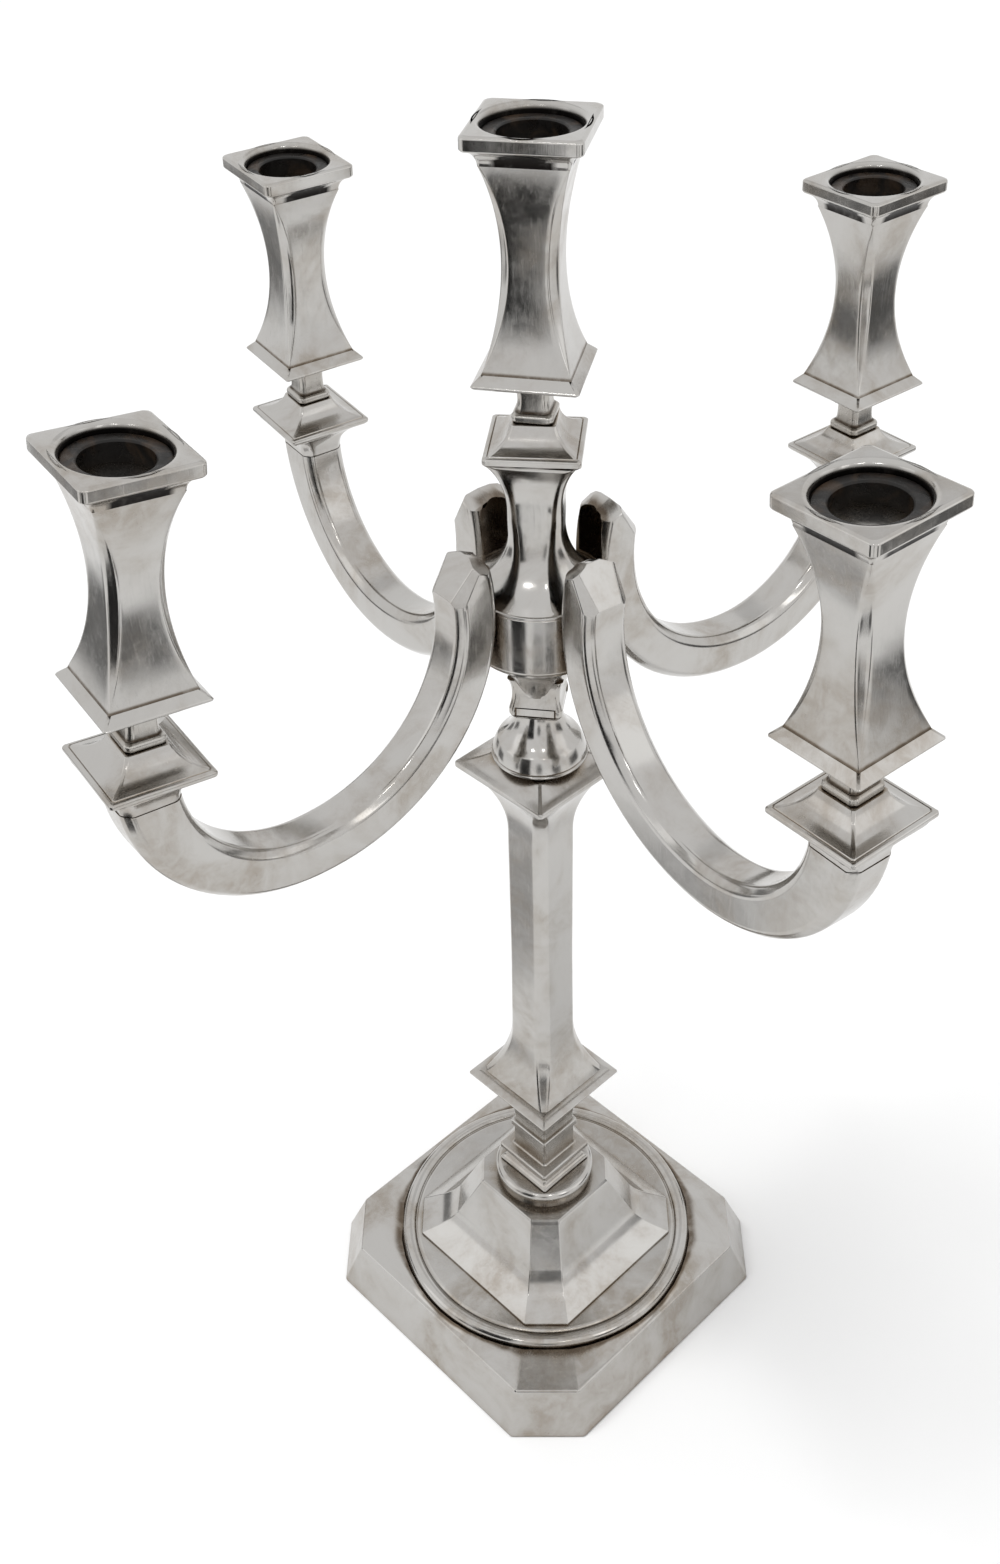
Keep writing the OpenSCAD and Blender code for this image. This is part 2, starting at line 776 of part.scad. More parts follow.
module socket_lip() color(silver) {
    cove_r = 4.2;
    round_r = 0.8;
    difference() {
        square_turned() difference() {
            outline([[body_top_half, body_top_z], [lip_half - 0.35, lip_low_z],
                [lip_half, lip_low_z + 0.5], [lip_half, lip_top_z - 0.5], [lip_half - 0.5, lip_top_z]]);
            for (s = [-1, 1]) translate([s * (body_top_half + cove_r + 0.6), body_top_z + 0.2]) circle(cove_r);
        }
        translate([0, 0, ledge_z]) cylinder(r = mouth_r, h = 10);
        translate([0, 0, lip_top_z - round_r]) cylinder(r1 = mouth_r, r2 = mouth_r + round_r, h = round_r + eps);
        translate([0, 0, body_top_z - 1]) cylinder(r = candle_r + cup_wall, h = 20);
    }
}

module socket_base() color(silver) {
    square_turned() outline([[7.4, 0], [15.3, 0], [15.96, base_edge_z - 0.2], [15.96, base_edge_z + 0.3],
        [body_low_half, base_top_z]]);
}

module socket_cup() color(dark) {
    straight_z = ledge_z - candle_depth;
    low_r = candle_r + cup_wall - 2.6;
    difference() {
        union() {
            translate([0, 0, straight_z]) cylinder(r = candle_r + cup_wall, h = candle_depth);
            translate([0, 0, straight_z - candle_depth])
                cylinder(r1 = low_r, r2 = candle_r + cup_wall, h = candle_depth);
            translate([0, 0, ledge_z]) cylinder(r = mouth_r, h = 0.8);
        }
        translate([0, 0, straight_z]) cylinder(r = candle_r, h = 20);
        translate([0, 0, straight_z - candle_depth + 1])
            cylinder(r1 = low_r - cup_wall, r2 = candle_r, h = candle_depth - 1);
    }
}

// moulded square neck with the screw that holds the socket down
module socket_neck(h, stud_l) color(silver) {
    low = 6.4;
    mid = 4.7;
    top = 7.2;
    bead_h = 2.8;
    four_sided() {
        neck_outline(h, bead_h, low, mid, top);
        neck_outline(h, bead_h, low * root2 - 1, mid * root2 - 0.9, top * root2 - 1.2);
    }
    translate([0, 0, -h - stud_l]) cylinder(r = stud_r, h = stud_l + 1);
}

// a bead, a hollow, and a spread under the base plate
module neck_outline(h, bead_h, low, mid, top) {
    difference() {
        outline([[low - 0.5, -h], [low, -h + 0.7], [low, bead_h - h - 0.6], [low - 0.6, bead_h - h],
            [mid + 0.4, bead_h - h], [mid + 0.2, -4.5], [top, -4.5], [top, 0]]);
        side_arcs(mid + 0.2, -4.5, 5);
    }
}

module body_front() at_arm(0) socket_body();
module body_left() at_arm(1) socket_body();
module body_right() at_arm(2) socket_body();
module body_back() at_arm(3) socket_body();
module body_centre() at_centre() socket_body();
module lip_front() at_arm(0) socket_lip();
module lip_left() at_arm(1) socket_lip();
module lip_right() at_arm(2) socket_lip();
module lip_back() at_arm(3) socket_lip();
module lip_centre() at_centre() socket_lip();
module base_front() at_arm(0) socket_base();
module base_left() at_arm(1) socket_base();
module base_right() at_arm(2) socket_base();
module base_back() at_arm(3) socket_base();
module base_centre() at_centre() socket_base();
module cup_front() at_arm(0) socket_cup();
module cup_left() at_arm(1) socket_cup();
module cup_right() at_arm(2) socket_cup();
module cup_back() at_arm(3) socket_cup();
module cup_centre() at_centre() socket_cup();
module neck_front() at_arm(0) socket_neck(arm_socket_z - arm_neck_z, arm_stud_l);
module neck_left() at_arm(1) socket_neck(arm_socket_z - arm_neck_z, arm_stud_l);
module neck_right() at_arm(2) socket_neck(arm_socket_z - arm_neck_z, arm_stud_l);
module neck_back() at_arm(3) socket_neck(arm_socket_z - arm_neck_z, arm_stud_l);
module neck_centre() at_centre() socket_neck(centre_socket_z - centre_neck_z, centre_stud_l);

foot_shell();
foot_disc();
foot_pyramid();
foot_ring();
foot_skirt();
neck_slab();
knop_neck();
knop_plate();
stem_column();
stem_cap();
stem_cup();
tie_rod();
rod_washer();
rod_nut();
branch_plug();
bell();
block();
drum();
hub_column();
centre_pan();
arm_front();
arm_left();
arm_right();
arm_back();
pan_front();
pan_left();
pan_right();
pan_back();
arm_screws();
body_front();
body_left();
body_right();
body_back();
body_centre();
lip_front();
lip_left();
lip_right();
lip_back();
lip_centre();
base_front();
base_left();
base_right();
base_back();
base_centre();
cup_front();
cup_left();
cup_right();
cup_back();
cup_centre();
neck_front();
neck_left();
neck_right();
neck_back();
neck_centre();
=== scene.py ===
import bpy
import bmesh
import math
from contextlib import contextmanager
from mathutils import Matrix, Vector


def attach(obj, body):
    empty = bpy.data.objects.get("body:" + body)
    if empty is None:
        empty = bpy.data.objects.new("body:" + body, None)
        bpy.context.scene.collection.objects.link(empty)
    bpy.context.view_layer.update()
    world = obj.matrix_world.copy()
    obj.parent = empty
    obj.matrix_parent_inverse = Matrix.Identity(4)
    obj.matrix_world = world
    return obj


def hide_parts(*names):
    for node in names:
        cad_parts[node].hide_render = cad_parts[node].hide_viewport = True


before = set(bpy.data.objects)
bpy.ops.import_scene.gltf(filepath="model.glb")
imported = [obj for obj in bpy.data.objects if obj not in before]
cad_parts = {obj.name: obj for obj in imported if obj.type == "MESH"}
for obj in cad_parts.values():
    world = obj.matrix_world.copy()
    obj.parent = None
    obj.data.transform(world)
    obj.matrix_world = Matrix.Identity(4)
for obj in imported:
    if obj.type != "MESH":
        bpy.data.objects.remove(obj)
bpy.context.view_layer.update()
print("frame loaded:", len(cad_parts), "nodes")

# pieces are sized in millimetres and degrees, the stage in metres; all meshes are made in metres
mm = 0.001
root2 = math.sqrt(2)
arms = ["front", "left", "right", "back"]
sharpAngle = 38  # faces that meet at more than this keep a sharp edge
barAngle = 30  # the same for hollow-sided bars, whose narrow facets meet at less
bevelAngle = 28  # edges sharper than this are rounded where pieces were joined or cut

# how the branch unit and its lights stand
unit = dict(turn=-8.6, reach=142.2, seamZ=356.5, socketZ=393, centreZ=440,
            quarter=dict(front=-90, left=180, right=0, back=90),
            adjust=dict(front=2.5, left=-0.2, right=-0.8, back=-0.1),
            shift=dict(front=2.5, left=1.6, right=0, back=-1.6),
            leanIn=dict(front=5.7, left=2.3, right=2.6, back=1.8),
            leanSide=dict(front=2.1, left=0.2, right=-2.7, back=1.1),
            socketTurn=dict(front=-9, left=-10.7, right=-7.5, back=-8.6, centre=33.3))
blockTurn = 45 + unit["turn"]


def armTurn(where):
    return unit["quarter"][where] + unit["turn"] + unit["adjust"][where]


# ring and outline helpers

def cornerReach(half, cut):
    # middle of a cut corner, measured from the axis
    return root2 * half - cut / root2


def cutSquareRing(half, cut, z, fillet=0.5, faceSteps=3, arcSteps=3):
    # one level of a square bar with cut, rounded corners
    cut = max(cut, 0.35)
    flat = half - cut
    turn = math.pi / 8
    reach = min(fillet * math.tan(turn), cut * root2 * 0.45, flat * 0.9)
    radius = reach / math.tan(turn)
    ring = []
    for q in range(4):
        side = []
        for k, cy in enumerate((-flat, flat)):
            centre = (half - radius, cy + (reach if k == 0 else -reach))
            start = -45 if k == 0 else 0
            for s in range(arcSteps + 1):
                a = math.radians(start + 45 * s / arcSteps)
                side.append((centre[0] + radius * math.cos(a), centre[1] + radius * math.sin(a)))
            if k == 0:
                low, high = math.atan2(reach - flat, half), math.atan2(flat - reach, half)
                for s in range(1, faceSteps + 1):
                    side.append((half, half * math.tan(low + (high - low) * s / (faceSteps + 1))))
        c, n = [(1, 0), (0, 1), (-1, 0), (0, -1)][q]
        ring += [(x * c - y * n, x * n + y * c, z) for x, y in side]
    return ring


def softMin(a, b, soft):
    h = max(soft - abs(a - b), 0) / soft
    return min(a, b) - h ** 3 * soft / 6


def oblongRing(halfX, halfY, reach, z, soft=0.8, shift=0, steps=6):
    # one level of a bar whose two widths differ; its cut corners lie at reach
    angles = []
    edgeX = math.atan(min(max(root2 * reach / halfX - 1, 0), 0.97))
    edgeY = math.pi / 2 - math.atan(min(max(root2 * reach / halfY - 1, 0), 0.97))
    for s in range(steps):
        angles.append(edgeX * (1 - (1 - s / steps) ** 1.6))
    for s in range(4):
        angles.append(edgeX + (edgeY - edgeX) * s / 4)
    for s in range(steps):
        angles.append(edgeY + (math.pi / 2 - edgeY) * (s / steps) ** 1.6)
    ring = []
    for q in range(4):
        for a in angles:
            if q % 2:
                a = math.pi / 2 - a
            r = softMin(softMin(halfX / max(math.cos(a), 0.01), halfY / max(math.sin(a), 0.01), soft),
                        reach / math.cos(a - math.pi / 4), soft)
            around = q * math.pi / 2 + (math.pi / 2 - a if q % 2 else a)
            ring.append((r * math.cos(around) + shift, r * math.sin(around), z))
    return ring


def roundRing(radius, z, like):
    # circle with one point for each point of another ring, at the same angle
    return [(radius * math.cos(a), radius * math.sin(a), z)
            for a in (math.atan2(p[1], p[0]) for p in like)]


def circleRing(radius, z, steps=96):
    return [(radius * math.cos(2 * math.pi * i / steps), radius * math.sin(2 * math.pi * i / steps), z)
            for i in range(steps)]


def softened(points, steps=4):
    # points are (half, z, radius) or (half, z, radius, cut); each corner becomes a small arc
    out = []
    for i, p in enumerate(points):
        here = Vector((p[0], p[1], p[3] if len(p) > 3 else 0))
        radius = p[2]
        if radius <= 0 or i in (0, len(points) - 1):
            out.append(tuple(here))
            continue
        before, after = points[i - 1], points[i + 1]
        a = Vector((before[0], before[1], before[3] if len(before) > 3 else 0))
        b = Vector((after[0], after[1], after[3] if len(after) > 3 else 0))
        ua, ub = (a - here), (b - here)
        la, lb = ua.to_2d().length, ub.to_2d().length
        reach = min(radius, la * 0.48, lb * 0.48)
        pa, pb = here + ua * (reach / la), here + ub * (reach / lb)
        for s in range(steps + 1):
            t = s / steps
            out.append(tuple(pa * (1 - t) ** 2 + here * 2 * t * (1 - t) + pb * t ** 2))
    return out


def arcRun(start, end, dip, steps=12):
    # points from start to end on an arc that dips towards the axis by dip at its middle
    (x0, z0), (x1, z1) = start, end
    chord = math.hypot(x1 - x0, z1 - z0)
    radius = chord * chord / (8 * dip) + dip / 2
    nx, nz = (z1 - z0) / chord, -(x1 - x0) / chord
    reach = radius - dip
    cx, cz = (x0 + x1) / 2 + nx * reach, (z0 + z1) / 2 + nz * reach
    a0, a1 = math.atan2(z0 - cz, x0 - cx), math.atan2(z1 - cz, x1 - cx)
    while a1 - a0 > math.pi:
        a1 -= 2 * math.pi
    while a0 - a1 > math.pi:
        a1 += 2 * math.pi
    return [(cx + radius * math.cos(a0 + (a1 - a0) * s / steps),
             cz + radius * math.sin(a0 + (a1 - a0) * s / steps)) for s in range(steps + 1)]


def swing(start, radius, d, limit):
    # how far an arc has left a straight line, d past its start
    return min(start + radius - math.sqrt(max(radius ** 2 - max(d, 0) ** 2, 0)), limit)


# mesh helpers

def loft(name, rings, closed=False, turn=0):
    # skin over rings of equal length
    count = len(rings[0])
    c, s = math.cos(math.radians(turn)), math.sin(math.radians(turn))
    verts = [((x * c - y * s) * mm, (x * s + y * c) * mm, z * mm) for ring in rings for x, y, z in ring]
    faces = []
    levels = len(rings)
    for i in range(levels if closed else levels - 1):
        j = (i + 1) % levels
        for k in range(count):
            m = (k + 1) % count
            faces.append((i * count + k, i * count + m, j * count + m, j * count + k))
    if not closed:
        faces.append(tuple(reversed(range(count))))
        faces.append(tuple((levels - 1) * count + k for k in range(count)))
    mesh = bpy.data.meshes.new(name)
    mesh.from_pydata(verts, [], faces)
    obj = bpy.data.objects.new(name, mesh)
    bpy.context.scene.collection.objects.link(obj)
    return cleaned(obj)


@contextmanager
def editing(mesh):
    bm = bmesh.new()
    bm.from_mesh(mesh)
    yield bm
    bm.to_mesh(mesh)
    bm.free()


def welded(bm, apart, shortest):
    bmesh.ops.remove_doubles(bm, verts=bm.verts, dist=apart)
    bmesh.ops.dissolve_degenerate(bm, dist=shortest, edges=bm.edges)


def shadedSmooth(obj, angle):
    # smooth, but sharp where two faces meet at more than this angle
    for p in obj.data.polygons:
        p.use_smooth = True
    obj.data.set_sharp_from_angle(angle=math.radians(angle))
    return obj


def cleaned(obj, angle=sharpAngle):
    with editing(obj.data) as bm:
        welded(bm, 2e-6, 1e-6)
        bmesh.ops.recalc_face_normals(bm, faces=bm.faces)
    return shadedSmooth(obj, angle)


def applied(obj):
    # bakes the object's modifiers into a plain mesh
    graph = bpy.context.evaluated_depsgraph_get()
    graph.update()
    mesh = bpy.data.meshes.new_from_object(obj.evaluated_get(graph))
    old = obj.data
    obj.modifiers.clear()
    obj.data = mesh
    if old.users == 0:
        bpy.data.meshes.remove(old)
    return obj


def discard(obj):
    mesh = obj.data
    bpy.data.objects.remove(obj)
    if mesh.users == 0:
        bpy.data.meshes.remove(mesh)


def joined(base, adds, cuts, bevel=0.25):
    # exact union and difference, then a small round on every new edge
    for operation, tools in (("UNION", adds), ("DIFFERENCE", cuts)):
        for tool in tools:
            mod = base.modifiers.new("boolean", "BOOLEAN")
            mod.operation = operation
            mod.solver = "EXACT"
            mod.object = tool
            applied(base)
            discard(tool)
    with editing(base.data) as bm:
        welded(bm, 1e-5, 1e-5)
    if bevel:
        mod = base.modifiers.new("edges", "BEVEL")
        mod.width = bevel * mm
        mod.segments = 2
        mod.limit_method = "ANGLE"
        mod.angle_limit = math.radians(bevelAngle)
        mod.use_clamp_overlap = True
        applied(base)
    return shadedSmooth(base, sharpAngle)


def painted(obj, name, rule):
    # a value for every point, kept with the mesh for the finish to read
    layer = obj.data.attributes.get(name) or obj.data.attributes.new(name, "FLOAT", "POINT")
    for v, value in zip(obj.data.vertices, layer.data):
        value.value = min(max(rule(v.co / mm), 0.0), 1.0)
    return obj


def settle(obj, body, slot, material, *nodes):
    # flat faces keep their own direction beside small rounds
    mod = obj.modifiers.new("evenNormals", "WEIGHTED_NORMAL")
    mod.keep_sharp = True
    mod.weight = 80
    applied(obj)
    obj.data.materials.clear()
    obj.data.materials.append(material)
    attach(obj, body)
    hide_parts(*nodes)
    return obj


def squareLevels(points, fillet=0.5, faceSteps=3, cut=0.4):
    return [cutSquareRing(p[0], p[2] if len(p) > 2 and p[2] > 0 else cut, p[1], fillet, faceSteps) for p in points]


def turned(points, steps=96):
    return [circleRing(max(p[0], 0.001), p[1], steps) for p in points]


# geometry node helpers

class Value:
    # what a node puts out, so that it can be used in sums like a number
    def __init__(self, tree, socket):
        self.tree, self.socket = tree, socket

    def op(self, operation, *others):
        return calc(self.tree, operation, self, *others)

    def __add__(self, other):
        return self.op("ADD", other)

    def __sub__(self, other):
        return self.op("SUBTRACT", other)

    def __rsub__(self, other):
        return calc(self.tree, "SUBTRACT", other, self)

    def __mul__(self, other):
        return self.op("MULTIPLY", other)

    def __truediv__(self, other):
        return self.op("DIVIDE", other)

    def clamped(self, low, high):
        return self.op("MAXIMUM", low).op("MINIMUM", high)


def feed(tree, socket, value):
    if isinstance(value, Value):
        value = value.socket
    if isinstance(value, bpy.types.NodeSocket):
        tree.links.new(value, socket)
    else:
        socket.default_value = value


def calc(tree, operation, *values):
    n = tree.nodes.new("ShaderNodeMath")
    n.operation = operation
    for socket, value in zip(n.inputs, values):
        feed(tree, socket, value)
    return Value(tree, n.outputs[0])


def pick(condition, whenFalse, whenTrue):
    n = condition.tree.nodes.new("GeometryNodeSwitch")
    n.input_type = "FLOAT"
    for label, value in (("Switch", condition), ("False", whenFalse), ("True", whenTrue)):
        feed(condition.tree, n.inputs[label], value)
    return Value(condition.tree, n.outputs[0])


def between(a, b, t):
    return (b - a).op("MULTIPLY_ADD", t, a)


def startTree(name, sizes):
    # a node tree with a named input for each size, and the material last
    tree = bpy.data.node_groups.new(name, "GeometryNodeTree")
    tree.interface.new_socket("Geometry", in_out="INPUT", socket_type="NodeSocketGeometry")
    for label, value in sizes.items():
        kind = "NodeSocketInt" if isinstance(value, int) else "NodeSocketFloat"
        tree.interface.new_socket(label, in_out="INPUT", socket_type=kind).default_value = value
    tree.interface.new_socket("Material", in_out="INPUT", socket_type="NodeSocketMaterial")
    tree.interface.new_socket("Geometry", in_out="OUTPUT", socket_type="NodeSocketGeometry")
    entry = tree.nodes.new("NodeGroupInput")
    return tree, lambda label: Value(tree, entry.outputs[label])


def gridOf(tree, rows, columns):
    # a grid whose points are then set one by one; returns it with each point's row and column
    grid = tree.nodes.new("GeometryNodeMeshGrid")
    feed(tree, grid.inputs["Vertices X"], rows)
    feed(tree, grid.inputs["Vertices Y"], columns)
    index = Value(tree, tree.nodes.new("GeometryNodeInputIndex").outputs[0])
    row = ((index + 0.25) / columns).op("FLOOR")
    return grid.outputs["Mesh"], row, index - row * columns


def setPoints(tree, mesh, x, y, z):
    join = tree.nodes.new("ShaderNodeCombineXYZ")
    for socket, value in zip(join.inputs, (x, y, z)):
        feed(tree, socket, value)
    setter = tree.nodes.new("GeometryNodeSetPosition")
    tree.links.new(mesh, setter.inputs["Geometry"])
    tree.links.new(join.outputs[0], setter.inputs["Position"])
    small = tree.nodes.new("GeometryNodeTransform")
    small.inputs["Scale"].default_value = (mm, mm, mm)
    tree.links.new(setter.outputs[0], small.inputs["Geometry"])
    merge = tree.nodes.new("GeometryNodeMergeByDistance")
    merge.inputs["Distance"].default_value = 0.003 * mm
    tree.links.new(small.outputs[0], merge.inputs["Geometry"])
    return merge.outputs[0]


def endTree(tree, geometry, material):
    real = tree.nodes.new("GeometryNodeRealizeInstances")
    tree.links.new(geometry, real.inputs["Geometry"])
    paint = tree.nodes.new("GeometryNodeSetMaterial")
    tree.links.new(real.outputs[0], paint.inputs["Geometry"])
    feed(tree, paint.inputs["Material"], material)
    tree.links.new(paint.outputs[0], tree.nodes.new("NodeGroupOutput").inputs[0])
    return tree


def grown(name, tree, sizes, material, base=None):
    # runs a tree with these sizes and keeps its result as a plain mesh
    obj = bpy.data.objects.new(name, base or bpy.data.meshes.new(name))
    bpy.context.scene.collection.objects.link(obj)
    mod = obj.modifiers.new("rule", "NODES")
    mod.node_group = tree
    ids = {item.name: item.identifier for item in tree.interface.items_tree
           if item.item_type == "SOCKET" and item.in_out == "INPUT"}
    for label, value in sizes.items():
        mod[ids[label]] = value
    mod[ids["Material"]] = material
    return applied(obj)


def hollowBarTree():
    # square bar with cut corners; face, cut corner and round limit each swing out on arcs below and above
    sizes = {"Levels": 60, "Steps": 9, "Low": 0.0, "Top": 100.0, "Softness": 1.0,
             "Taper": 0.0, "Taper Low": 0.0, "Taper High": 1.0}
    for part, half in (("Face", 10.0), ("Edge", 12.0), ("Round", 60.0)):
        sizes.update({part + " Half": half, part + " Low Start": -900.0, part + " Low Radius": 50.0,
                      part + " High Start": 900.0, part + " High Radius": 50.0, part + " Limit": 90.0,
                      part + " Low Bend": 1.0})
    tree, get = startTree("hollowBar", sizes)
    steps = get("Steps")
    mesh, row, column = gridOf(tree, get("Levels") + 3, steps.op("MULTIPLY_ADD", 8, 1))
    z = between(get("Low"), get("Top"), ((row - 1) / get("Levels")).clamped(0, 1))
    taper = (get("Taper High") - z) / (get("Taper High") - get("Taper Low"))
    taper = taper.clamped(0, 1) * get("Taper")

    def outline(part):
        total = get(part + " Half")
        if part != "Round":
            total = total + taper
        for end, past in (("High", z - get(part + " High Start")), ("Low", get(part + " Low Start") - z)):
            radius = get(part + " " + end + " Radius")
            most = radius * get(part + " Low Bend") if end == "Low" else radius
            held = past.clamped(0, most)
            total = total + (radius - (radius * radius - held * held).op("SQRT"))
            if end == "High":
                total = total.op("MINIMUM", get(part + " Limit"))
            else:  # past its steepest place the lower arc goes on at 45 degrees
                total = total + (past - most).op("MAXIMUM", 0)
        return total
    face, edge, limit = outline("Face"), outline("Edge"), outline("Round")

    # angle of each point inside its eighth of the turn: most points lie near the cut corner
    onFace, crowding = 0.68, 1.7
    eighth = ((column + 0.25) / steps).op("FLOOR")
    odd = eighth.op("MODULO", 2)
    v = (odd - (column - eighth * steps) / steps).op("ABSOLUTE")
    edgeAngle = (edge * root2 / face - 1).clamped(0.02, 0.97).op("ARCTANGENT")
    faceAngle = edgeAngle * (1 - (1 - (v / onFace).op("MINIMUM", 1)).op("POWER", crowding))
    facetAngle = between(edgeAngle, math.pi / 4, (v - onFace) / (1 - onFace))
    angle = pick(v.op("GREATER_THAN", onFace), faceAngle, facetAngle)
    toFace = face / angle.op("COSINE")
    toEdge = edge / (math.pi / 4 - angle).op("COSINE")
    radius = toFace.op("SMOOTH_MIN", toEdge, get("Softness")).op("SMOOTH_MIN", limit, get("Softness"))
    # the first and last rows close the ends at the axis
    inside = row.op("COMPARE", *(get("Levels").op("MULTIPLY_ADD", 0.5, n) for n in (1, 0.5)))
    radius = radius * inside
    around = pick(odd.op("GREATER_THAN", 0.5), eighth.op("MULTIPLY_ADD", math.pi / 4, angle),
                  eighth.op("MULTIPLY_ADD", math.pi / 4, math.pi / 4) - angle)
    mesh = setPoints(tree, mesh, radius * around.op("COSINE"), radius * around.op("SINE"), z)
    return endTree(tree, mesh, get("Material"))


def sweptArmTree():
    # carries a section along an arm: two pairs of arcs that meet at the lowest point
    sizes = {"Middle": 90.0, "Insert": 0.0, "Far Steps": 24, "Near Steps": 34,
             "Far Inner Radius": 45.0, "Far Inner Height": 358.0, "Far Inner End": 0.0,
             "Far Outer Radius": 59.0, "Far Outer Height": 361.0, "Far Outer End": 0.0,
             "Near Inner Radius": 55.0, "Near Inner Height": 369.0,
             "Near Outer Radius": 66.0, "Near Outer Height": 368.0, "Near End": -3.6}
    tree, get = startTree("sweptArm", sizes)
    count = tree.nodes.new("GeometryNodeAttributeDomainSize")
    feed(tree, count.inputs[0], get("Geometry"))
    points = Value(tree, count.outputs["Point Count"])
    mesh, row, column = gridOf(tree, get("Far Steps") + get("Near Steps") + 2, points + 1)
    sample = tree.nodes.new("GeometryNodeSampleIndex")
    sample.data_type = "FLOAT_VECTOR"
    feed(tree, sample.inputs["Geometry"], get("Geometry"))
    feed(tree, sample.inputs["Value"], tree.nodes.new("GeometryNodeInputPosition").outputs[0])
    feed(tree, sample.inputs["Index"], (column + 0.25).op("MODULO", points))
    section = tree.nodes.new("ShaderNodeSeparateXYZ")
    feed(tree, section.inputs[0], sample.outputs[0])
    side, width, proud = (Value(tree, out) for out in section.outputs)

    far = row.op("LESS_THAN", get("Far Steps") + 0.5)
    tFar = row / get("Far Steps")
    tNear = (row - get("Far Steps") - 1) / get("Near Steps")
    middle = get("Insert").op("MULTIPLY_ADD", far, get("Middle"))
    nearAngle = between(-math.pi / 2, get("Near End"), tNear)

    def curve(which):
        angle = pick(far, nearAngle, between(get("Far " + which + " End"), -math.pi / 2, tFar))
        radius, height = (pick(far, get("Near " + which + kind), get("Far " + which + kind))
                          for kind in (" Radius", " Height"))
        return (radius.op("MULTIPLY_ADD", angle.op("COSINE"), middle),
                radius.op("MULTIPLY_ADD", angle.op("SINE"), height))
    (xIn, zIn), (xOut, zOut) = curve("Inner"), curve("Outer")
    dx, dz = xOut - xIn, zOut - zIn
    along = side + proud / (dx * dx + dz * dz).op("SQRT")
    mesh = setPoints(tree, mesh, dx.op("MULTIPLY_ADD", along, xIn), width, dz.op("MULTIPLY_ADD", along, zIn))
    return endTree(tree, mesh, get("Material"))


def lightTree():
    # sets a copy of an upright piece on its arm, leaning from the arm's seam
    sizes = {"Arm Turn": 0.0, "Reach": 0.0, "Seam Height": 0.0, "Lean In": 0.0, "Lean Side": 0.0,
             "Own Turn": 0.0, "Lift": 0.0}
    tree, get = startTree("lightOnArm", sizes)
    copy = tree.nodes.new("GeometryNodeGeometryToInstance")
    feed(tree, copy.inputs[0], get("Geometry"))

    def moved(geometry, move, turn):
        n = tree.nodes.new("GeometryNodeTransform")
        feed(tree, n.inputs["Geometry"], geometry)
        for name, values, factor in (("Translation", move, mm), ("Rotation", turn, math.pi / 180)):
            join = tree.nodes.new("ShaderNodeCombineXYZ")
            for socket, value in zip(join.inputs, values):
                feed(tree, socket, value * factor)
            feed(tree, n.inputs[name], join.outputs[0])
        return n.outputs[0]
    out = moved(copy.outputs[0], (0, 0, get("Lift") - get("Seam Height")), (0, 0, get("Own Turn")))
    out = moved(out, (get("Reach"), 0, get("Seam Height")), (get("Lean Side") * -1, get("Lean In") * -1, 0))
    out = moved(out, (0, 0, 0), (0, 0, get("Arm Turn")))
    return endTree(tree, out, get("Material"))


hollowBar, sweptArm, lightOnArm = hollowBarTree(), sweptArmTree(), lightTree()
print("node trees ready")


def hollowPiece(name, sizes, **parts):
    # each part: half width, where its low arc starts and the arc's radius, the same for the high arc,
    # then its limit and how far the low arc bends
    labels = [" Half", " Low Start", " Low Radius", " High Start", " High Radius", " Limit", " Low Bend"]
    for part, values in parts.items():
        sizes.update((part.title() + label, value) for label, value in zip(labels, values))
    return grown(name, hollowBar, sizes, silver)


def atLight(name, where, master, material, ownTurn=0.0, lift=0.0):
    # a copy of the master piece on an arm, or on the middle
    sizes = {"Own Turn": float(ownTurn), "Lift": float(lift)}
    if where != "centre":
        sizes.update({"Arm Turn": float(armTurn(where)), "Reach": float(unit["reach"] + unit["shift"][where]),
                      "Seam Height": float(unit["seamZ"]), "Lean In": float(unit["leanIn"][where]),
                      "Lean Side": float(unit["leanSide"][where])})
    return grown(name, lightOnArm, sizes, material, master.data)


# finishes

def makeMaterial(name):
    mat = bpy.data.materials.new(name)
    mat.use_nodes = True
    tree = mat.node_tree
    return mat, tree, tree.nodes["Principled BSDF"]


def node(tree, kind, **inputs):
    n = tree.nodes.new(kind)
    for key, value in inputs.items():
        if key.startswith("set_"):
            setattr(n, key[4:], value)
        else:
            n.inputs[key.replace("_", " ")].default_value = value
    return n


def shaped(tree, value, low, high, toLow=0.0, toHigh=1.0):
    # smooth step of a value between two limits
    n = node(tree, "ShaderNodeMapRange", set_interpolation_type="SMOOTHSTEP")
    tree.links.new(value, n.inputs["Value"])
    for label, number in (("From Min", low), ("From Max", high), ("To Min", toLow), ("To Max", toHigh)):
        n.inputs[label].default_value = number
    return n.outputs["Result"]


def sums(tree, operation, a, b, c=None, clamp=True):
    n = node(tree, "ShaderNodeMath", set_operation=operation, set_use_clamp=clamp)
    for socket, value in zip(n.inputs, (a, b, c)):
        if value is not None:
            feed(tree, socket, value)
    return n.outputs[0]


def tinted(tree, amount, below, above):
    # one colour over another by an amount
    n = node(tree, "ShaderNodeMix", set_data_type="RGBA")
    feed(tree, n.inputs[0], amount)
    for socket, value in ((n.inputs[6], below), (n.inputs[7], above)):
        feed(tree, socket, (*value, 1) if isinstance(value, tuple) else value)
    return n.outputs[2]


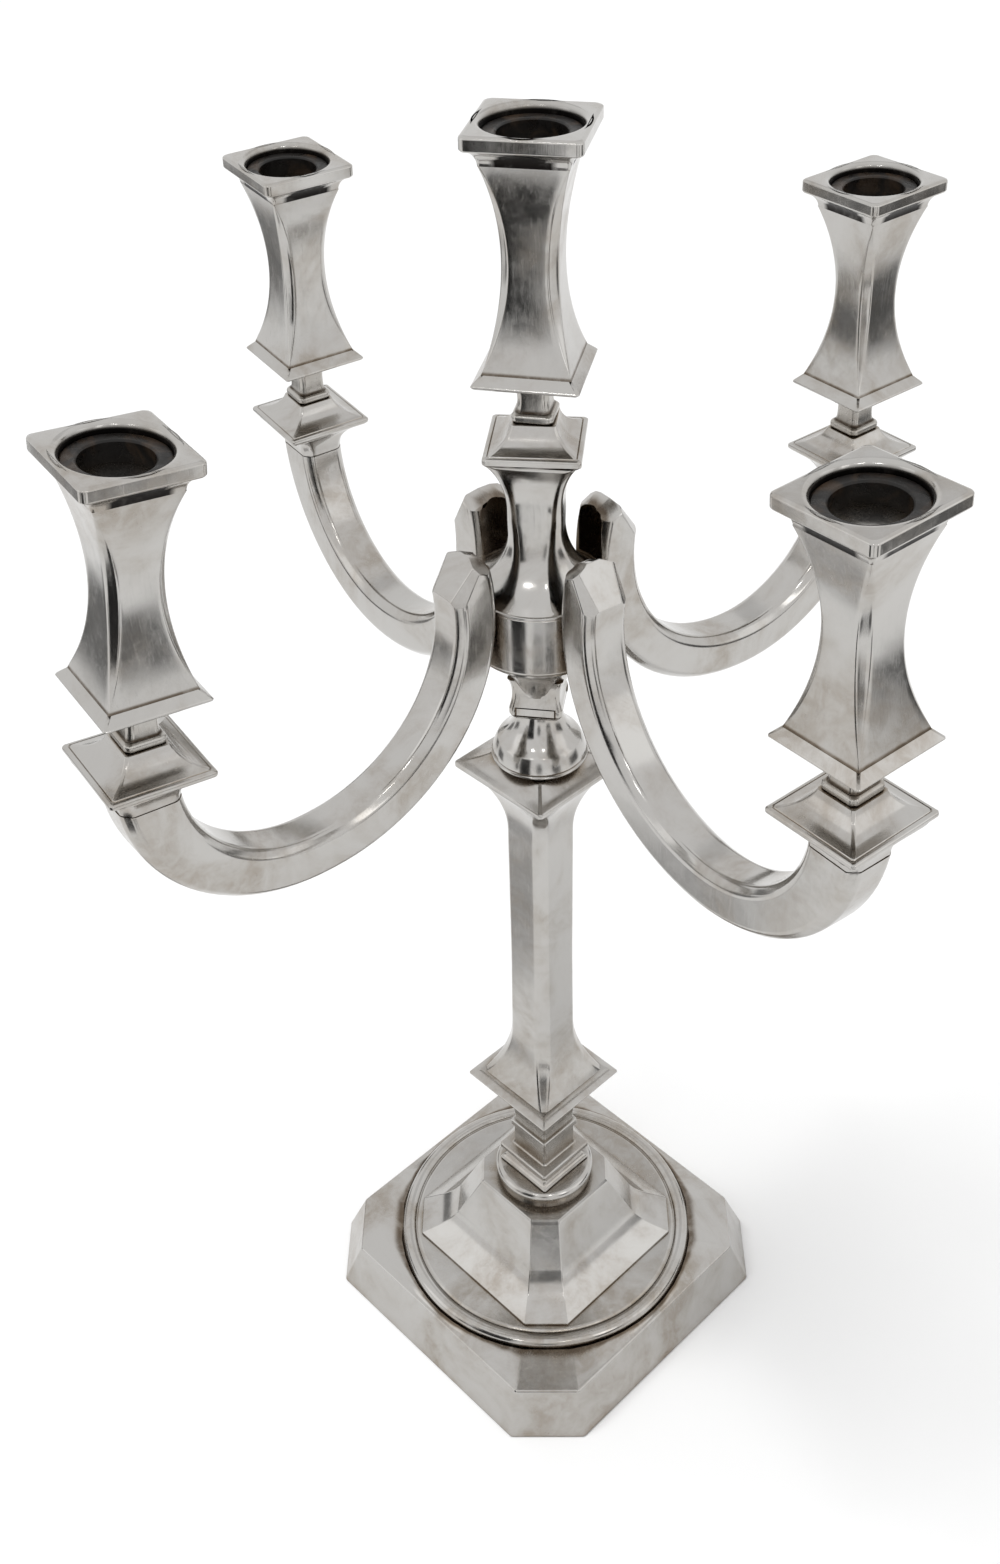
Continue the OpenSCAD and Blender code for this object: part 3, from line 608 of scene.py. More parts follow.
def speckle(tree, vector, scale, detail=5.0, rough=0.6, warp=0.0, stretch=None, turn=(0, 0, 0)):
    if stretch:
        mapping = node(tree, "ShaderNodeMapping", Scale=stretch, Rotation=turn)
        tree.links.new(vector, mapping.inputs["Vector"])
        vector = mapping.outputs["Vector"]
    n = node(tree, "ShaderNodeTexNoise", Scale=scale, Detail=detail, Roughness=rough, Distortion=warp)
    tree.links.new(vector, n.inputs["Vector"])
    return n.outputs["Fac"]


# each finish's darkest colour goes into its inner corners and where parts meet, partly polishing dirt and partly
# painted shade; corner sets its strength and reach how far the occlusion node looks
finish = dict(
    silver=dict(clean=(0.485, 0.474, 0.456), tarnish=(0.26, 0.215, 0.165), dirtAndShade=(0.105, 0.08, 0.058),
                gloss=(0.09, 0.2), cloud=0.62, corner=0.92, reach=0.008, waves=0.14),
    wornSilver=dict(clean=(0.45, 0.435, 0.41), tarnish=(0.25, 0.21, 0.165), dirtAndShade=(0.06, 0.045, 0.032),
                    gloss=(0.13, 0.28), cloud=0.6, corner=1.0, reach=0.008, waves=0.12),
    steel=dict(clean=(0.42, 0.42, 0.42), tarnish=(0.24, 0.22, 0.2), dirtAndShade=(0.09, 0.08, 0.07),
               gloss=(0.28, 0.45), cloud=0.5, corner=0.8, reach=0.004, waves=0.05))


def silverFinish(name, f):
    mat, tree, shader = makeMaterial(name)
    link = tree.links.new
    place = node(tree, "ShaderNodeTexCoord").outputs["Object"]
    shader.inputs["Metallic"].default_value = 1.0

    # thin brown tarnish in broad uneven clouds, with paler rubbed places
    broad = speckle(tree, place, 26.0, 6.0, 0.62, 0.9)
    small = speckle(tree, place, 150.0, 5.0, 0.65, 0.5)
    cloud = sums(tree, "MULTIPLY", shaped(tree, broad, 0.38, 0.70), shaped(tree, small, 0.3, 0.65, 0.35, 1.0))
    # darker in the inner corners and where parts meet: partly polishing dirt and tarnish, partly painted shade from
    # the occlusion node and from the marks painted on the pieces
    shade = node(tree, "ShaderNodeAmbientOcclusion", Distance=f["reach"], set_samples=8).outputs["AO"]
    dirtAndShadeMarks = node(tree, "ShaderNodeAttribute", set_attribute_name="dirtAndShade").outputs["Fac"]
    inner = sums(tree, "MULTIPLY", shaped(tree, shade, 0.66, 0.2), 0.9)
    inner = sums(tree, "MAXIMUM", inner, shaped(tree, dirtAndShadeMarks, 0.15, 0.75))
    inner = sums(tree, "MULTIPLY", inner, shaped(tree, small, 0.25, 0.6, 0.5, 1.0))
    # a wider brown halo round the corners and the painted marks, partly tarnish and partly painted shade
    tarnishAndShadeHalo = sums(tree, "MAXIMUM", shaped(tree, shade, 0.97, 0.5, 0.0, 0.85), sums(tree, "MULTIPLY", dirtAndShadeMarks, 0.8))
    tarnishAndShadeHalo = sums(tree, "MULTIPLY", tarnishAndShadeHalo, shaped(tree, broad, 0.3, 0.65, 0.35, 1.0))
    tarnish = sums(tree, "MULTIPLY_ADD", cloud, f["cloud"], tarnishAndShadeHalo)
    colour = tinted(tree, tarnish, f["clean"], f["tarnish"])
    colour = tinted(tree, sums(tree, "MULTIPLY", inner, f["corner"]), colour, f["dirtAndShade"])
    # candle soot where a piece carries it
    sooted = node(tree, "ShaderNodeAttribute", set_attribute_name="soot").outputs["Fac"]
    smoke = sums(tree, "MULTIPLY", sooted, shaped(tree, small, 0.2, 0.5, 0.82, 1.0))
    colour = tinted(tree, smoke, colour, (0.014, 0.012, 0.011))
    link(colour, shader.inputs["Base Color"])

    # handling marks and fine scratches change the gloss
    smear = speckle(tree, place, 95.0, 6.0, 0.7, 0.3)
    rub = speckle(tree, place, 1.0, 3.0, 0.7, 0.0, (1500, 1500, 70), (0.05, 0.04, 0.0))
    cross = speckle(tree, place, 1.0, 3.0, 0.7, 0.0, (110, 1900, 300), (0.2, 0.9, 0.6))
    gloss = shaped(tree, smear, 0.3, 0.72, *f["gloss"])
    gloss = sums(tree, "MULTIPLY_ADD", shaped(tree, rub, 0.5, 0.75), 0.07, gloss)
    gloss = sums(tree, "MULTIPLY_ADD", sums(tree, "MAXIMUM", tarnish, inner), 0.14, gloss)
    link(sums(tree, "MULTIPLY_ADD", smoke, 0.2, gloss), shader.inputs["Roughness"])

    # hand-worked surface: slow waves, then hairlines both ways
    slow = node(tree, "ShaderNodeBump", Strength=f["waves"], Distance=0.0012)
    link(speckle(tree, place, 48.0, 2.0, 0.4), slow.inputs["Height"])
    normal = slow.outputs["Normal"]
    for lines in (rub, cross):
        fine = node(tree, "ShaderNodeBump", Strength=0.09, Distance=0.00004)
        link(lines, fine.inputs["Height"])
        link(normal, fine.inputs["Normal"])
        normal = fine.outputs["Normal"]
    link(normal, shader.inputs["Normal"])
    return mat


silver = silverFinish("silver", finish["silver"])
wornSilver = silverFinish("wornSilver", finish["wornSilver"])
steel = silverFinish("steel", finish["steel"])

sootLook = dict(black=(0.007, 0.006, 0.0055), residue=(0.034, 0.022, 0.014), metalShows=(0.16, 0.135, 0.11),
                gloss=(0.22, 0.5), lumps=0.5)


def sootFinish(f):
    # burnt black with a brown waxy residue, bare metal in a few rubbed spots
    mat, tree, shader = makeMaterial("soot")
    link = tree.links.new
    place = node(tree, "ShaderNodeTexCoord").outputs["Object"]
    flake = speckle(tree, place, 240.0, 6.0, 0.68, 0.5)
    patch = speckle(tree, place, 95.0, 4.0, 0.6, 0.8)
    bare = sums(tree, "MULTIPLY", shaped(tree, flake, 0.66, 0.78), shaped(tree, patch, 0.5, 0.65))
    colour = tinted(tree, shaped(tree, patch, 0.46, 0.66), f["black"], f["residue"])
    colour = tinted(tree, bare, colour, f["metalShows"])
    link(colour, shader.inputs["Base Color"])
    shader.inputs["Specular IOR Level"].default_value = 0.3
    link(sums(tree, "MULTIPLY", bare, 0.9), shader.inputs["Metallic"])
    link(shaped(tree, flake, 0.3, 0.7, f["gloss"][1], f["gloss"][0]), shader.inputs["Roughness"])
    bump = node(tree, "ShaderNodeBump", Strength=f["lumps"], Distance=0.0004)
    link(flake, bump.inputs["Height"])
    link(bump.outputs["Normal"], shader.inputs["Normal"])
    return mat


soot = sootFinish(sootLook)
print("finishes ready")

# foot

foot = dict(half=76, cut=22, rimHalf=68.1, rimCut=18.7, rimZ=21.3, grooveR=65.6, grooveZ=23.3,
            wall=1.6, holeR=51.6, edge=0.9)


def makeFoot(f):
    inner = f["rimZ"] - f["wall"]
    rings = squareLevels(softened([
        (f["half"] - 1.5, 0, 0, f["cut"] - 0.6), (f["half"], 0, f["edge"], f["cut"]),
        (f["rimHalf"], f["rimZ"], 0.9, f["rimCut"]),
        (f["rimHalf"] - 1.4, f["rimZ"] + 0.12, 0, f["rimCut"] - 0.4)]), fillet=2.2, faceSteps=9)
    like = rings[-1]
    groove = roundRing(f["grooveR"], f["grooveZ"] - 0.2, like)
    for t in (0.35, 0.7):
        rings.append([(p[0] * (1 - t) + q[0] * t, p[1] * (1 - t) + q[1] * t, p[2] * (1 - t) + q[2] * t)
                      for p, q in zip(like, groove)])
    rings.append(groove)
    for r, z in ((f["grooveR"] - 0.4, f["grooveZ"] - 0.5), (f["grooveR"] - 1.2, f["grooveZ"] - 0.5),
                 (f["holeR"], f["grooveZ"] - 0.5), (f["holeR"], inner)):
        rings.append(roundRing(r, z, like))
    rings += squareLevels([(f["rimHalf"] - f["wall"], inner, f["rimCut"] - 0.4),
                           (f["half"] - f["wall"] - 0.2, 1.2, f["cut"] - 0.5),
                           (f["half"] - 4, 1.1, f["cut"] - 1.5), (f["half"] - 4, 0, f["cut"] - 1.5)],
                          fillet=2, faceSteps=9)
    # darker in the groove round the disc, and a painted contact shadow along the lowest edge
    return painted(loft("footShell", rings, closed=True), "dirtAndShade",
                   lambda p: max(1.2 - abs(p.xy.length - f["grooveR"]) / 1.1 if p.z > 20 else 0, 1.1 - p.z / 0.7))


settle(makeFoot(foot), "base", "silver", silver, "foot_shell")

disc = dict(outer=64.8, z=26.5, baseZ=23.3, bandMid=61.5, bandTop=26.75, valleyR=58.4, innerR=8.6)


def makeDisc(d):
    # a half-round moulding runs round the rim, with a thin valley inside it
    points = [(d["innerR"], d["baseZ"]), (d["outer"] - 0.5, d["baseZ"])]
    wide, high = d["outer"] - d["bandMid"], d["bandTop"] - d["baseZ"]
    for i in range(19):
        a = math.radians(4 + 152 * i / 18)
        points.append((d["bandMid"] + wide * math.cos(a), d["baseZ"] + 0.1 + high * abs(math.sin(a)) ** 0.8))
    points = [p for p in points if p[0] > d["valleyR"] + 0.25 or p[1] < d["baseZ"] + 0.05]
    profile = points + softened([(d["valleyR"] + 0.3, d["z"] - 0.75, 0), (d["valleyR"], d["z"] - 0.85, 0.2),
                                 (d["valleyR"] - 0.9, d["z"] - 0.25, 0.6), (d["valleyR"] - 6, d["z"] - 0.15, 2),
                                 (46, d["z"], 0), (d["innerR"], d["z"], 0)])
    # darker low on its outer edge, where it sits in the groove, and faintly along the valley
    return painted(loft("footDisc", turned(profile, 160), closed=True), "dirtAndShade",
                   lambda p: max((d["baseZ"] + 1.3 - p.z) / 0.8, 0.35 - abs(p.xy.length - d["valleyR"]) / 0.9))


settle(makeDisc(disc), "base", "silver", silver, "foot_disc")

pyramid = dict(half=45.8, cut=13, topHalf=23, topCut=8.3, z0=26.5, z1=61.5, kneeHalf=34.2, kneeZ=35.2,
               kneeSoft=6.5, lipZ=27.5)


def makePyramid(p):
    # steep faces bend at the knee into a flare that ends in a low lip
    side = softened([(p["half"], p["z0"], 0, p["cut"]), (p["half"], p["lipZ"], 0.3, p["cut"]),
                     (p["kneeHalf"], p["kneeZ"], p["kneeSoft"], p["cut"] * 0.78),
                     (p["topHalf"] + 0.9, p["z1"] - 1.3, 1.1, p["topCut"] + 0.2),
                     (p["topHalf"], p["z1"], 0, p["topCut"])], 10)
    rings = squareLevels(side, fillet=1.0, faceSteps=7)
    rings.append(cutSquareRing(p["topHalf"] - 1.2, p["topCut"] - 0.4, p["z1"], 1.0, 7))
    return loft("footPyramid", rings)


settle(makePyramid(pyramid), "base", "silver", silver, "foot_pyramid")

bead = dict(radius=18.6, bead=2.5, z=67.4, lowZ=61.5, topZ=70)


def makeBead(r):
    points = [(0.01, r["lowZ"]), (r["radius"] + 1.6, r["lowZ"]), (r["radius"] + 1.3, r["lowZ"] + 0.9),
              (r["radius"] + 0.9, r["lowZ"] + 2.2)]
    for i in range(17):
        a = math.radians(-68 + 168 * i / 16)
        points.append((r["radius"] + r["bead"] * math.cos(a), r["z"] + r["bead"] * math.sin(a)))
    points += [(r["radius"] - 4, r["topZ"]), (0.01, r["topZ"])]
    return loft("footRing", turned(points, 128))


settle(makeBead(bead), "base", "silver", silver, "foot_ring")

skirt = dict(half=13.7, z=70, stepZ=78, topZ=80.5, neckHalf=9.2, neckTopZ=93)


def makeSkirt(s):
    scotia = arcRun((s["half"] - 0.3, s["z"] + 1.5), (s["half"] - 0.2, s["stepZ"]), 1.9, 10)
    points = [(s["half"] - 0.8, s["z"]), (s["half"], s["z"] + 0.5)] + scotia
    points += softened([(s["half"], s["stepZ"] + 0.3, 0), (s["half"], s["topZ"], 0.8),
                        (s["neckHalf"] + 0.5, s["topZ"] + 0.1, 0.5), (s["neckHalf"], s["topZ"] + 1, 0.5),
                        (s["neckHalf"], s["neckTopZ"], 0)])
    return loft("footSkirt", squareLevels(points, 0.6, 3, 0.7))


settle(makeSkirt(skirt), "base", "silver", silver, "foot_skirt")

knop = dict(slabHalf=10.1, slabZ=93, slabTopZ=96.5, underZ=121, edgeHalf=21.9, edgeZ=127, topHalf=17.6, topZ=129.6)


def makeKnop(k):
    slab = softened([(k["slabHalf"] - 0.9, k["slabZ"], 0), (k["slabHalf"], k["slabZ"] + 0.2, 0.6),
                     (k["slabHalf"], k["slabTopZ"] - 0.2, 0.6), (k["slabHalf"] - 0.9, k["slabTopZ"], 0)])
    neck = [(9, k["slabTopZ"])] + arcRun((9, k["slabTopZ"] + 2), (17.2, k["underZ"]), 2.4, 16)
    plate = softened([(k["topHalf"] - 0.2, k["underZ"], 0), (k["edgeHalf"], k["edgeZ"] - 0.3, 0.4),
                      (k["edgeHalf"], k["edgeZ"] + 0.2, 0.3), (k["topHalf"], k["topZ"], 0)])
    settle(loft("neckSlab", squareLevels(slab, 0.6, 3, 0.7)), "base", "silver", silver, "neck_slab")
    settle(loft("knopNeck", squareLevels(neck, 0.6, 3, 0.7)), "base", "worn_silver", wornSilver, "knop_neck")
    settle(loft("knopPlate", squareLevels(plate, 0.5, 5, 0.6)), "base", "silver", silver, "knop_plate")


makeKnop(knop)
print("foot ready")

# column

column = dict(half=10.2, cut=3.75, lowZ=129.6, topZ=291.0, extra=0.4, extraEndZ=200.0, flareLowZ=159.0,
              flareTopZ=264.0, faceArcs=(65.2, 43.8), edgeArcs=(43.9, 32.2))


def makeColumn(c):
    low, high = c["flareLowZ"], c["flareTopZ"]
    (faceLow, faceHigh), (edgeLow, edgeHigh) = c["faceArcs"], c["edgeArcs"]
    obj = hollowPiece("stemColumn", {
        "Levels": 110, "Low": c["lowZ"], "Top": c["topZ"], "Softness": 0.9,
        "Taper": c["extra"], "Taper Low": low, "Taper High": c["extraEndZ"]},
        face=(c["half"], low, faceLow, high, faceHigh),
        edge=(cornerReach(c["half"], c["cut"]), low, edgeLow, high, edgeHigh))
    return cleaned(obj, barAngle)


settle(makeColumn(column), "base", "silver", silver, "stem_column")

cap = dict(half=21.35, z=291, rimZ=291.8, rimTopZ=293.6, topHalf=11.6, topZ=297.5, boreR=10.5)


def makeCap(c):
    points = softened([(c["half"] - 3, c["z"], 0), (c["half"] - 0.4, c["z"] + 0.2, 0.4),
                       (c["half"], c["rimZ"], 0.5), (c["half"], c["rimTopZ"] - 0.3, 0.5),
                       (c["half"] - 0.5, c["rimTopZ"], 0.4)])
    rings = squareLevels(points, 0.9, 9, 0.8)
    for h, z in arcRun((c["half"] - 0.6, c["rimTopZ"]), (c["topHalf"], c["topZ"]), 0.5, 6)[1:]:
        rings.append(cutSquareRing(h, 0.7, z, 0.7, 9))
    like = rings[-1]
    rings += [roundRing(c["boreR"], c["topZ"], like), roundRing(c["boreR"], c["z"], like)]
    return loft("stemCap", rings, closed=True)


settle(makeCap(cap), "base", "silver", silver, "stem_cap")
print("column ready")

# branch unit

bell = dict(z=298, topZ=317.5, rimR=16.8, domeR=15.5, domeX=1.0, domeZ=297.5, neckR=8.0, hollowR=14.6,
            meetZ=305.5, boreR=6.05)


def makeBell(b):
    z = b["z"]
    points = softened([(b["boreR"], z, 0), (b["rimR"] - 0.7, z, 0.3), (b["rimR"], z + 0.35, 0.4),
                       (b["rimR"], z + 1.1, 0.4), (b["rimR"] - 0.9, z + 1.55, 0.15), (b["rimR"] - 0.95, z + 1.8, 0)])
    steps, domeLow = 14, z + 2.0
    for i in range(steps + 1):
        h = domeLow + (b["meetZ"] - domeLow) * i / steps
        points.append((b["domeX"] + math.sqrt(b["domeR"] ** 2 - (h - b["domeZ"]) ** 2), h))
    for i in range(1, steps + 1):
        h = b["meetZ"] + (b["topZ"] - b["meetZ"]) * i / steps
        points.append((b["neckR"] + b["hollowR"] - math.sqrt(b["hollowR"] ** 2 - (b["topZ"] - h) ** 2), h))
    points.append((b["boreR"], b["topZ"]))
    return loft("bell", turned(points, 112), closed=True)


settle(makeBell(bell), "branch", "silver", silver, "bell")

block = dict(z=317.5, half=9.0, bandTopZ=322, waist=8.05, waistZ=327.5, waistR=17, topZ=334, cut=1.1,
             panelW=13.9, panelH=4.0, panelZ=320.6, sunk=0.9,
             coveZ=326.5, coveR=8.3, coveTopZ=345, coveTopR=21.4, coveDip=2.05)


def makeBlock(b):
    h, z = b["half"], b["z"]
    outline = softened([(h - 1.1, z, 0), (h - 0.5, z + 0.9, 0.5), (h, z + 2.1, 0.7), (h, b["bandTopZ"] - 0.4, 0)])
    for i in range(13):
        level = b["bandTopZ"] + (b["topZ"] - b["bandTopZ"]) * i / 12
        outline.append((swing(b["waist"], b["waistR"], abs(level - b["waistZ"]), h + 2), level))
    bar = loft("blockBar", squareLevels(outline, 1.0, 5, b["cut"]), turn=blockTurn)
    cove = arcRun((b["coveR"], b["coveZ"]), (b["coveTopR"] - 0.3, b["coveTopZ"] - 0.7), b["coveDip"], 16)
    cove = [(3, b["coveZ"])] + cove + [(b["coveTopR"] - 0.3, b["coveTopZ"])]
    cove = loft("blockCove", turned(cove, 112))
    panels = []
    for q in range(4):
        # sunk a little, with a narrow groove all round
        w, t = b["panelW"] / 2, b["panelH"] / 2
        panel = loft("panel", [[(-w + i, -t + i, d), (w - i, -t + i, d), (w - i, t - i, d), (-w + i, t - i, d)]
                               for i, d in ((0.62, h - b["sunk"] * 0.45), (0.42, h - b["sunk"]),
                                            (0, h - b["sunk"]), (0, h + 3))])
        upright = Matrix(((0, 0, 1, 0), (1, 0, 0, 0), (0, 1, 0, b["panelZ"] * mm), (0, 0, 0, 1)))
        panel.data.transform(Matrix.Rotation(math.radians(blockTurn + 90 * q), 4, "Z") @ upright)
        panels.append(panel)
    back = Matrix.Rotation(math.radians(-blockTurn), 3, "Z")

    # points in the narrow groove round each panel are marked to be drawn darker
    def inGroove(p):
        x, y, up = back @ p
        deep = max(abs(x), abs(y)) < h - b["sunk"] * 0.8 and min(abs(x), abs(y)) > 0.5
        return 1 if deep and abs(up - b["panelZ"]) < b["panelH"] / 2 + 0.1 else 0

    return painted(joined(bar, [cove], panels), "dirtAndShade", inGroove)


settle(makeBlock(block), "branch", "silver", silver, "block")

drum = dict(radius=22, z=345, topZ=367.6)


def makeDrum(d):
    r, t = d["radius"], d["topZ"]
    points = softened([(0.01, d["z"], 0), (r - 0.9, d["z"], 0.5), (r, d["z"] + 0.9, 0.9),
                       (r, t - 1.3, 0.1), (r - 0.35, t - 1.0, 0.2), (r - 0.05, t - 0.75, 0.2),
                       (r - 0.02, t - 0.2, 0.2), (r - 0.4, t, 0), (0.01, t, 0)])
    return loft("drum", turned(points, 128))


settle(makeDrum(drum), "branch", "silver", silver, "drum")

hub = dict(half=8.65, cut=2.4, lowZ=367.6, topZ=415.4, topHalf=13.9, roundHalf=10.6, roundZ=386.0,
           roundArc=19.0, faceArcs=(388.5, 20.9, 396.5, 34.0), edgeArcs=(385.0, 17.0, 394.5, 29.5))


def makeHub(h):
    upright, arc = h["roundZ"], h["roundArc"]
    obj = hollowPiece("hubColumn", {
        "Levels": 96, "Steps": 12, "Low": h["lowZ"], "Top": h["topZ"], "Softness": 2.4},
        face=(h["half"], *h["faceArcs"], h["topHalf"]),
        edge=(cornerReach(h["half"], h["cut"]), *h["edgeArcs"], h["topHalf"] * root2),
        round=(h["roundHalf"], upright, arc, upright, arc, 40.0, 0.7071))
    obj.data.transform(Matrix.Rotation(math.radians(blockTurn), 4, "Z"))
    return cleaned(obj, barAngle)


settle(makeHub(hub), "branch", "silver", silver, "hub_column")

pan = dict(half=16.2, z=367.2, rim=2.4, topHalf=6.5, topZ=376.6, dip=1.5)
centrePan = dict(half=14.8, z=415.4, rim=2.9, topHalf=6.5, topZ=425.6, dip=1.25)
collar = dict(half=9.6, width=8.15, cut=2.6, shift=0.15, radii=(12.5, 11.2, 10.5), topHalf=15.0)


def makePanTop(name, p):
    h, z, top = p["half"], p["z"], p["z"] + p["rim"]
    points = softened([(h - 0.85, z, 0), (h, z + 0.9, 0.35), (h, top - 0.4, 0.35), (h - 0.5, top, 0.3),
                       (h - 1.25, top + 0.12, 0.1), (h - 1.45, top - 0.18, 0.1), (h - 1.7, top + 0.2, 0)])
    points += arcRun((h - 1.75, top + 0.24), (p["topHalf"] + 0.2, p["topZ"] - 0.2), p["dip"], 8)
    points.append((p["topHalf"] - 0.4, p["topZ"]))
    return loft(name, squareLevels(points, 0.6, 5, 0.7))


def makeCollar(c, p):
    z0 = unit["seamZ"]
    reach = (c["half"] + c["width"] - c["cut"]) / root2
    rings = []
    steps = 14
    for i in range(steps + 1):
        d = (p["z"] + 0.4 - z0) * i / steps
        rings.append(oblongRing(swing(c["half"], c["radii"][0], d, c["topHalf"]),
                                swing(c["width"], c["radii"][1], d, c["topHalf"]),
                                swing(reach, c["radii"][2], d, c["topHalf"] * root2) if d < c["radii"][2]
                                else c["topHalf"] * root2, z0 + d, 0.8, c["shift"]))
    # the lowest edge is eased so that the seam with the arm shows
    first = [(x - math.copysign(0.25, x - c["shift"]), y - math.copysign(0.25, y), z) for x, y, z in rings[0]]
    rings[0] = [(x, y, z + 0.3) for x, y, z in rings[0]]
    return loft("collar", [first] + rings)


def makePans():
    top, under = makePanTop("panTop", pan), makeCollar(collar, pan)
    for where in arms:
        own = unit["socketTurn"][where] - unit["turn"] - unit["adjust"][where]
        piece = atLight("pan" + where.title(), where, top, silver, own)
        piece = joined(piece, [atLight("collar", where, under, silver)], [], 0)
        settle(piece, "branch", "silver", silver, "pan_" + where)
    discard(top)
    discard(under)
    middle = makePanTop("centrePanTop", centrePan)
    settle(atLight("centrePan", "centre", middle, silver, unit["socketTurn"]["centre"] + 6),
           "branch", "silver", silver, "centre_pan")
    discard(middle)


makePans()
print("hub and pans ready")

# arms

arm = dict(width=16.4, cut=2.6, midR=90.25, fillet=2.0, near=((55.8, 369.3), (66.5, 368.7)),
           far=((45.1, 358.6), (59.4, 361.6)), pastSeam=3.5, nearEnd=-206, slope=((40.5, 373.5), (28.5, 389.6)),
           sideLow=(4.5, 377.5), sideHigh=(6.3, 387.2), sideDepth=3.0, tipX=70, endsZ=330,
           headZ=389.2, headHalf=2.4, headFall=0.5, shoulder=(6.8, 387.3), edgeEase=0.13,
           pocket=(14, 29.5, 11.6, 368.6, 386.9), archHigh=4.2, seatR=22, seatZ=381, holeZ=382, holeR=1.5)


def armProfile(a):
    # the section as a mesh of points: side 0 to 1 across the arm, width, and how far it stands proud
    half, cut, f = a["width"] / 2, a["cut"], a["fillet"] * 0.6
    corners = [(0, -cut, -half + cut), (0, 0, -half), (1, 0, -half), (1, cut, -half + cut),
               (1, cut, half - cut), (1, 0, half), (0, 0, half), (0, -cut, half - cut)]
    like = 13.0
    flat = [Vector((side * like + proud, width)) for side, proud, width in corners]
    verts = []
    for i, p in enumerate(flat):
        side = corners[i][0]
        before, after = flat[i - 1], flat[(i + 1) % len(flat)]
        pa, pb = p + (before - p).normalized() * f, p + (after - p).normalized() * f
        for s in range(5):
            t = s / 4
            q = pa * (1 - t) ** 2 + p * 2 * t * (1 - t) + pb * t ** 2
            verts.append((side, q.y, q.x - side * like))
    mesh = bpy.data.meshes.new("armSection")
    mesh.from_pydata(verts, [], [])
    return mesh


def sliced(obj, cuts):
    # cuts an end off along each plane and closes it; a cut reaches only the points that near() takes
    with editing(obj.data) as bm:
        for point, normal, near in cuts:
            # kept in the mesh's own order, so that each run cuts alike
            geom = [v for v in bm.verts if near(v.co)]
            held = set(geom)
            geom += [p for parts in (bm.edges, bm.faces) for p in parts if held.issuperset(p.verts)]
            result = bmesh.ops.bisect_plane(bm, geom=geom, plane_co=point, plane_no=normal, clear_outer=True)
            edges = [e for e in result["geom_cut"] if isinstance(e, bmesh.types.BMEdge)]
            bmesh.ops.contextual_create(bm, geom=edges)
        bmesh.ops.recalc_face_normals(bm, faces=bm.faces)
    return obj


def headPlanes(a, move):
    # the head's faces as a normal and a distance: the slope, its two side cuts, the flat top and shoulders
    (x0, z0), (x1, z1) = a["slope"]
    along = Vector((x1 - x0, 0, z1 - z0)).normalized()
    slope = Vector((along.z, 0, -along.x))
    onSlope = lambda y, z: Vector((x0 + move + (z - z0) * (x1 - x0) / (z1 - z0), y, z))
    half = a["width"] / 2

    def through(p, q, r, out):
        n = (q - p).cross(r - p).normalized()
        n = n if n.dot(out) > 0 else -n
        return n, n.dot(p)

    def easing(p, q):
        # the plane that takes off the edge between two others
        n = p[0] + q[0]
        return n.normalized(), (p[1] + q[1]) / n.length - a["edgeEase"]
    face = (slope, slope.dot(onSlope(0, z0)))
    fall = Vector((-1, 0, -a["headFall"])) * 3
    crest = [onSlope(y, a["headZ"]) for y in (-a["headHalf"], a["headHalf"])]
    top = through(crest[0], crest[1], crest[0] + fall, Vector((0, 0, 1)))
    planes, small = [face, top], [easing(face, top)]
    for s in (-1, 1):
        low, high = onSlope(s * a["sideLow"][0], a["sideLow"][1]), onSlope(s * a["sideHigh"][0], a["sideHigh"][1])
        outer = Vector((low.x, s * half, low.z)) - slope * a["sideDepth"]
        cut = through(low, high, outer, Vector((0, s, 0)))
        y, z = a["shoulder"]
        corner = onSlope(s * a["headHalf"], a["headZ"])
        shoulder = through(corner, onSlope(s * y, z), corner + fall, Vector((0, 0, 1)))
        side = (Vector((0, s, 0)), half)
        planes += [cut, shoulder]
        meeting = ((face, cut), (face, shoulder), (cut, shoulder), (cut, side), (shoulder, side))
        small += [easing(p, q) for p, q in meeting]
    return planes + small


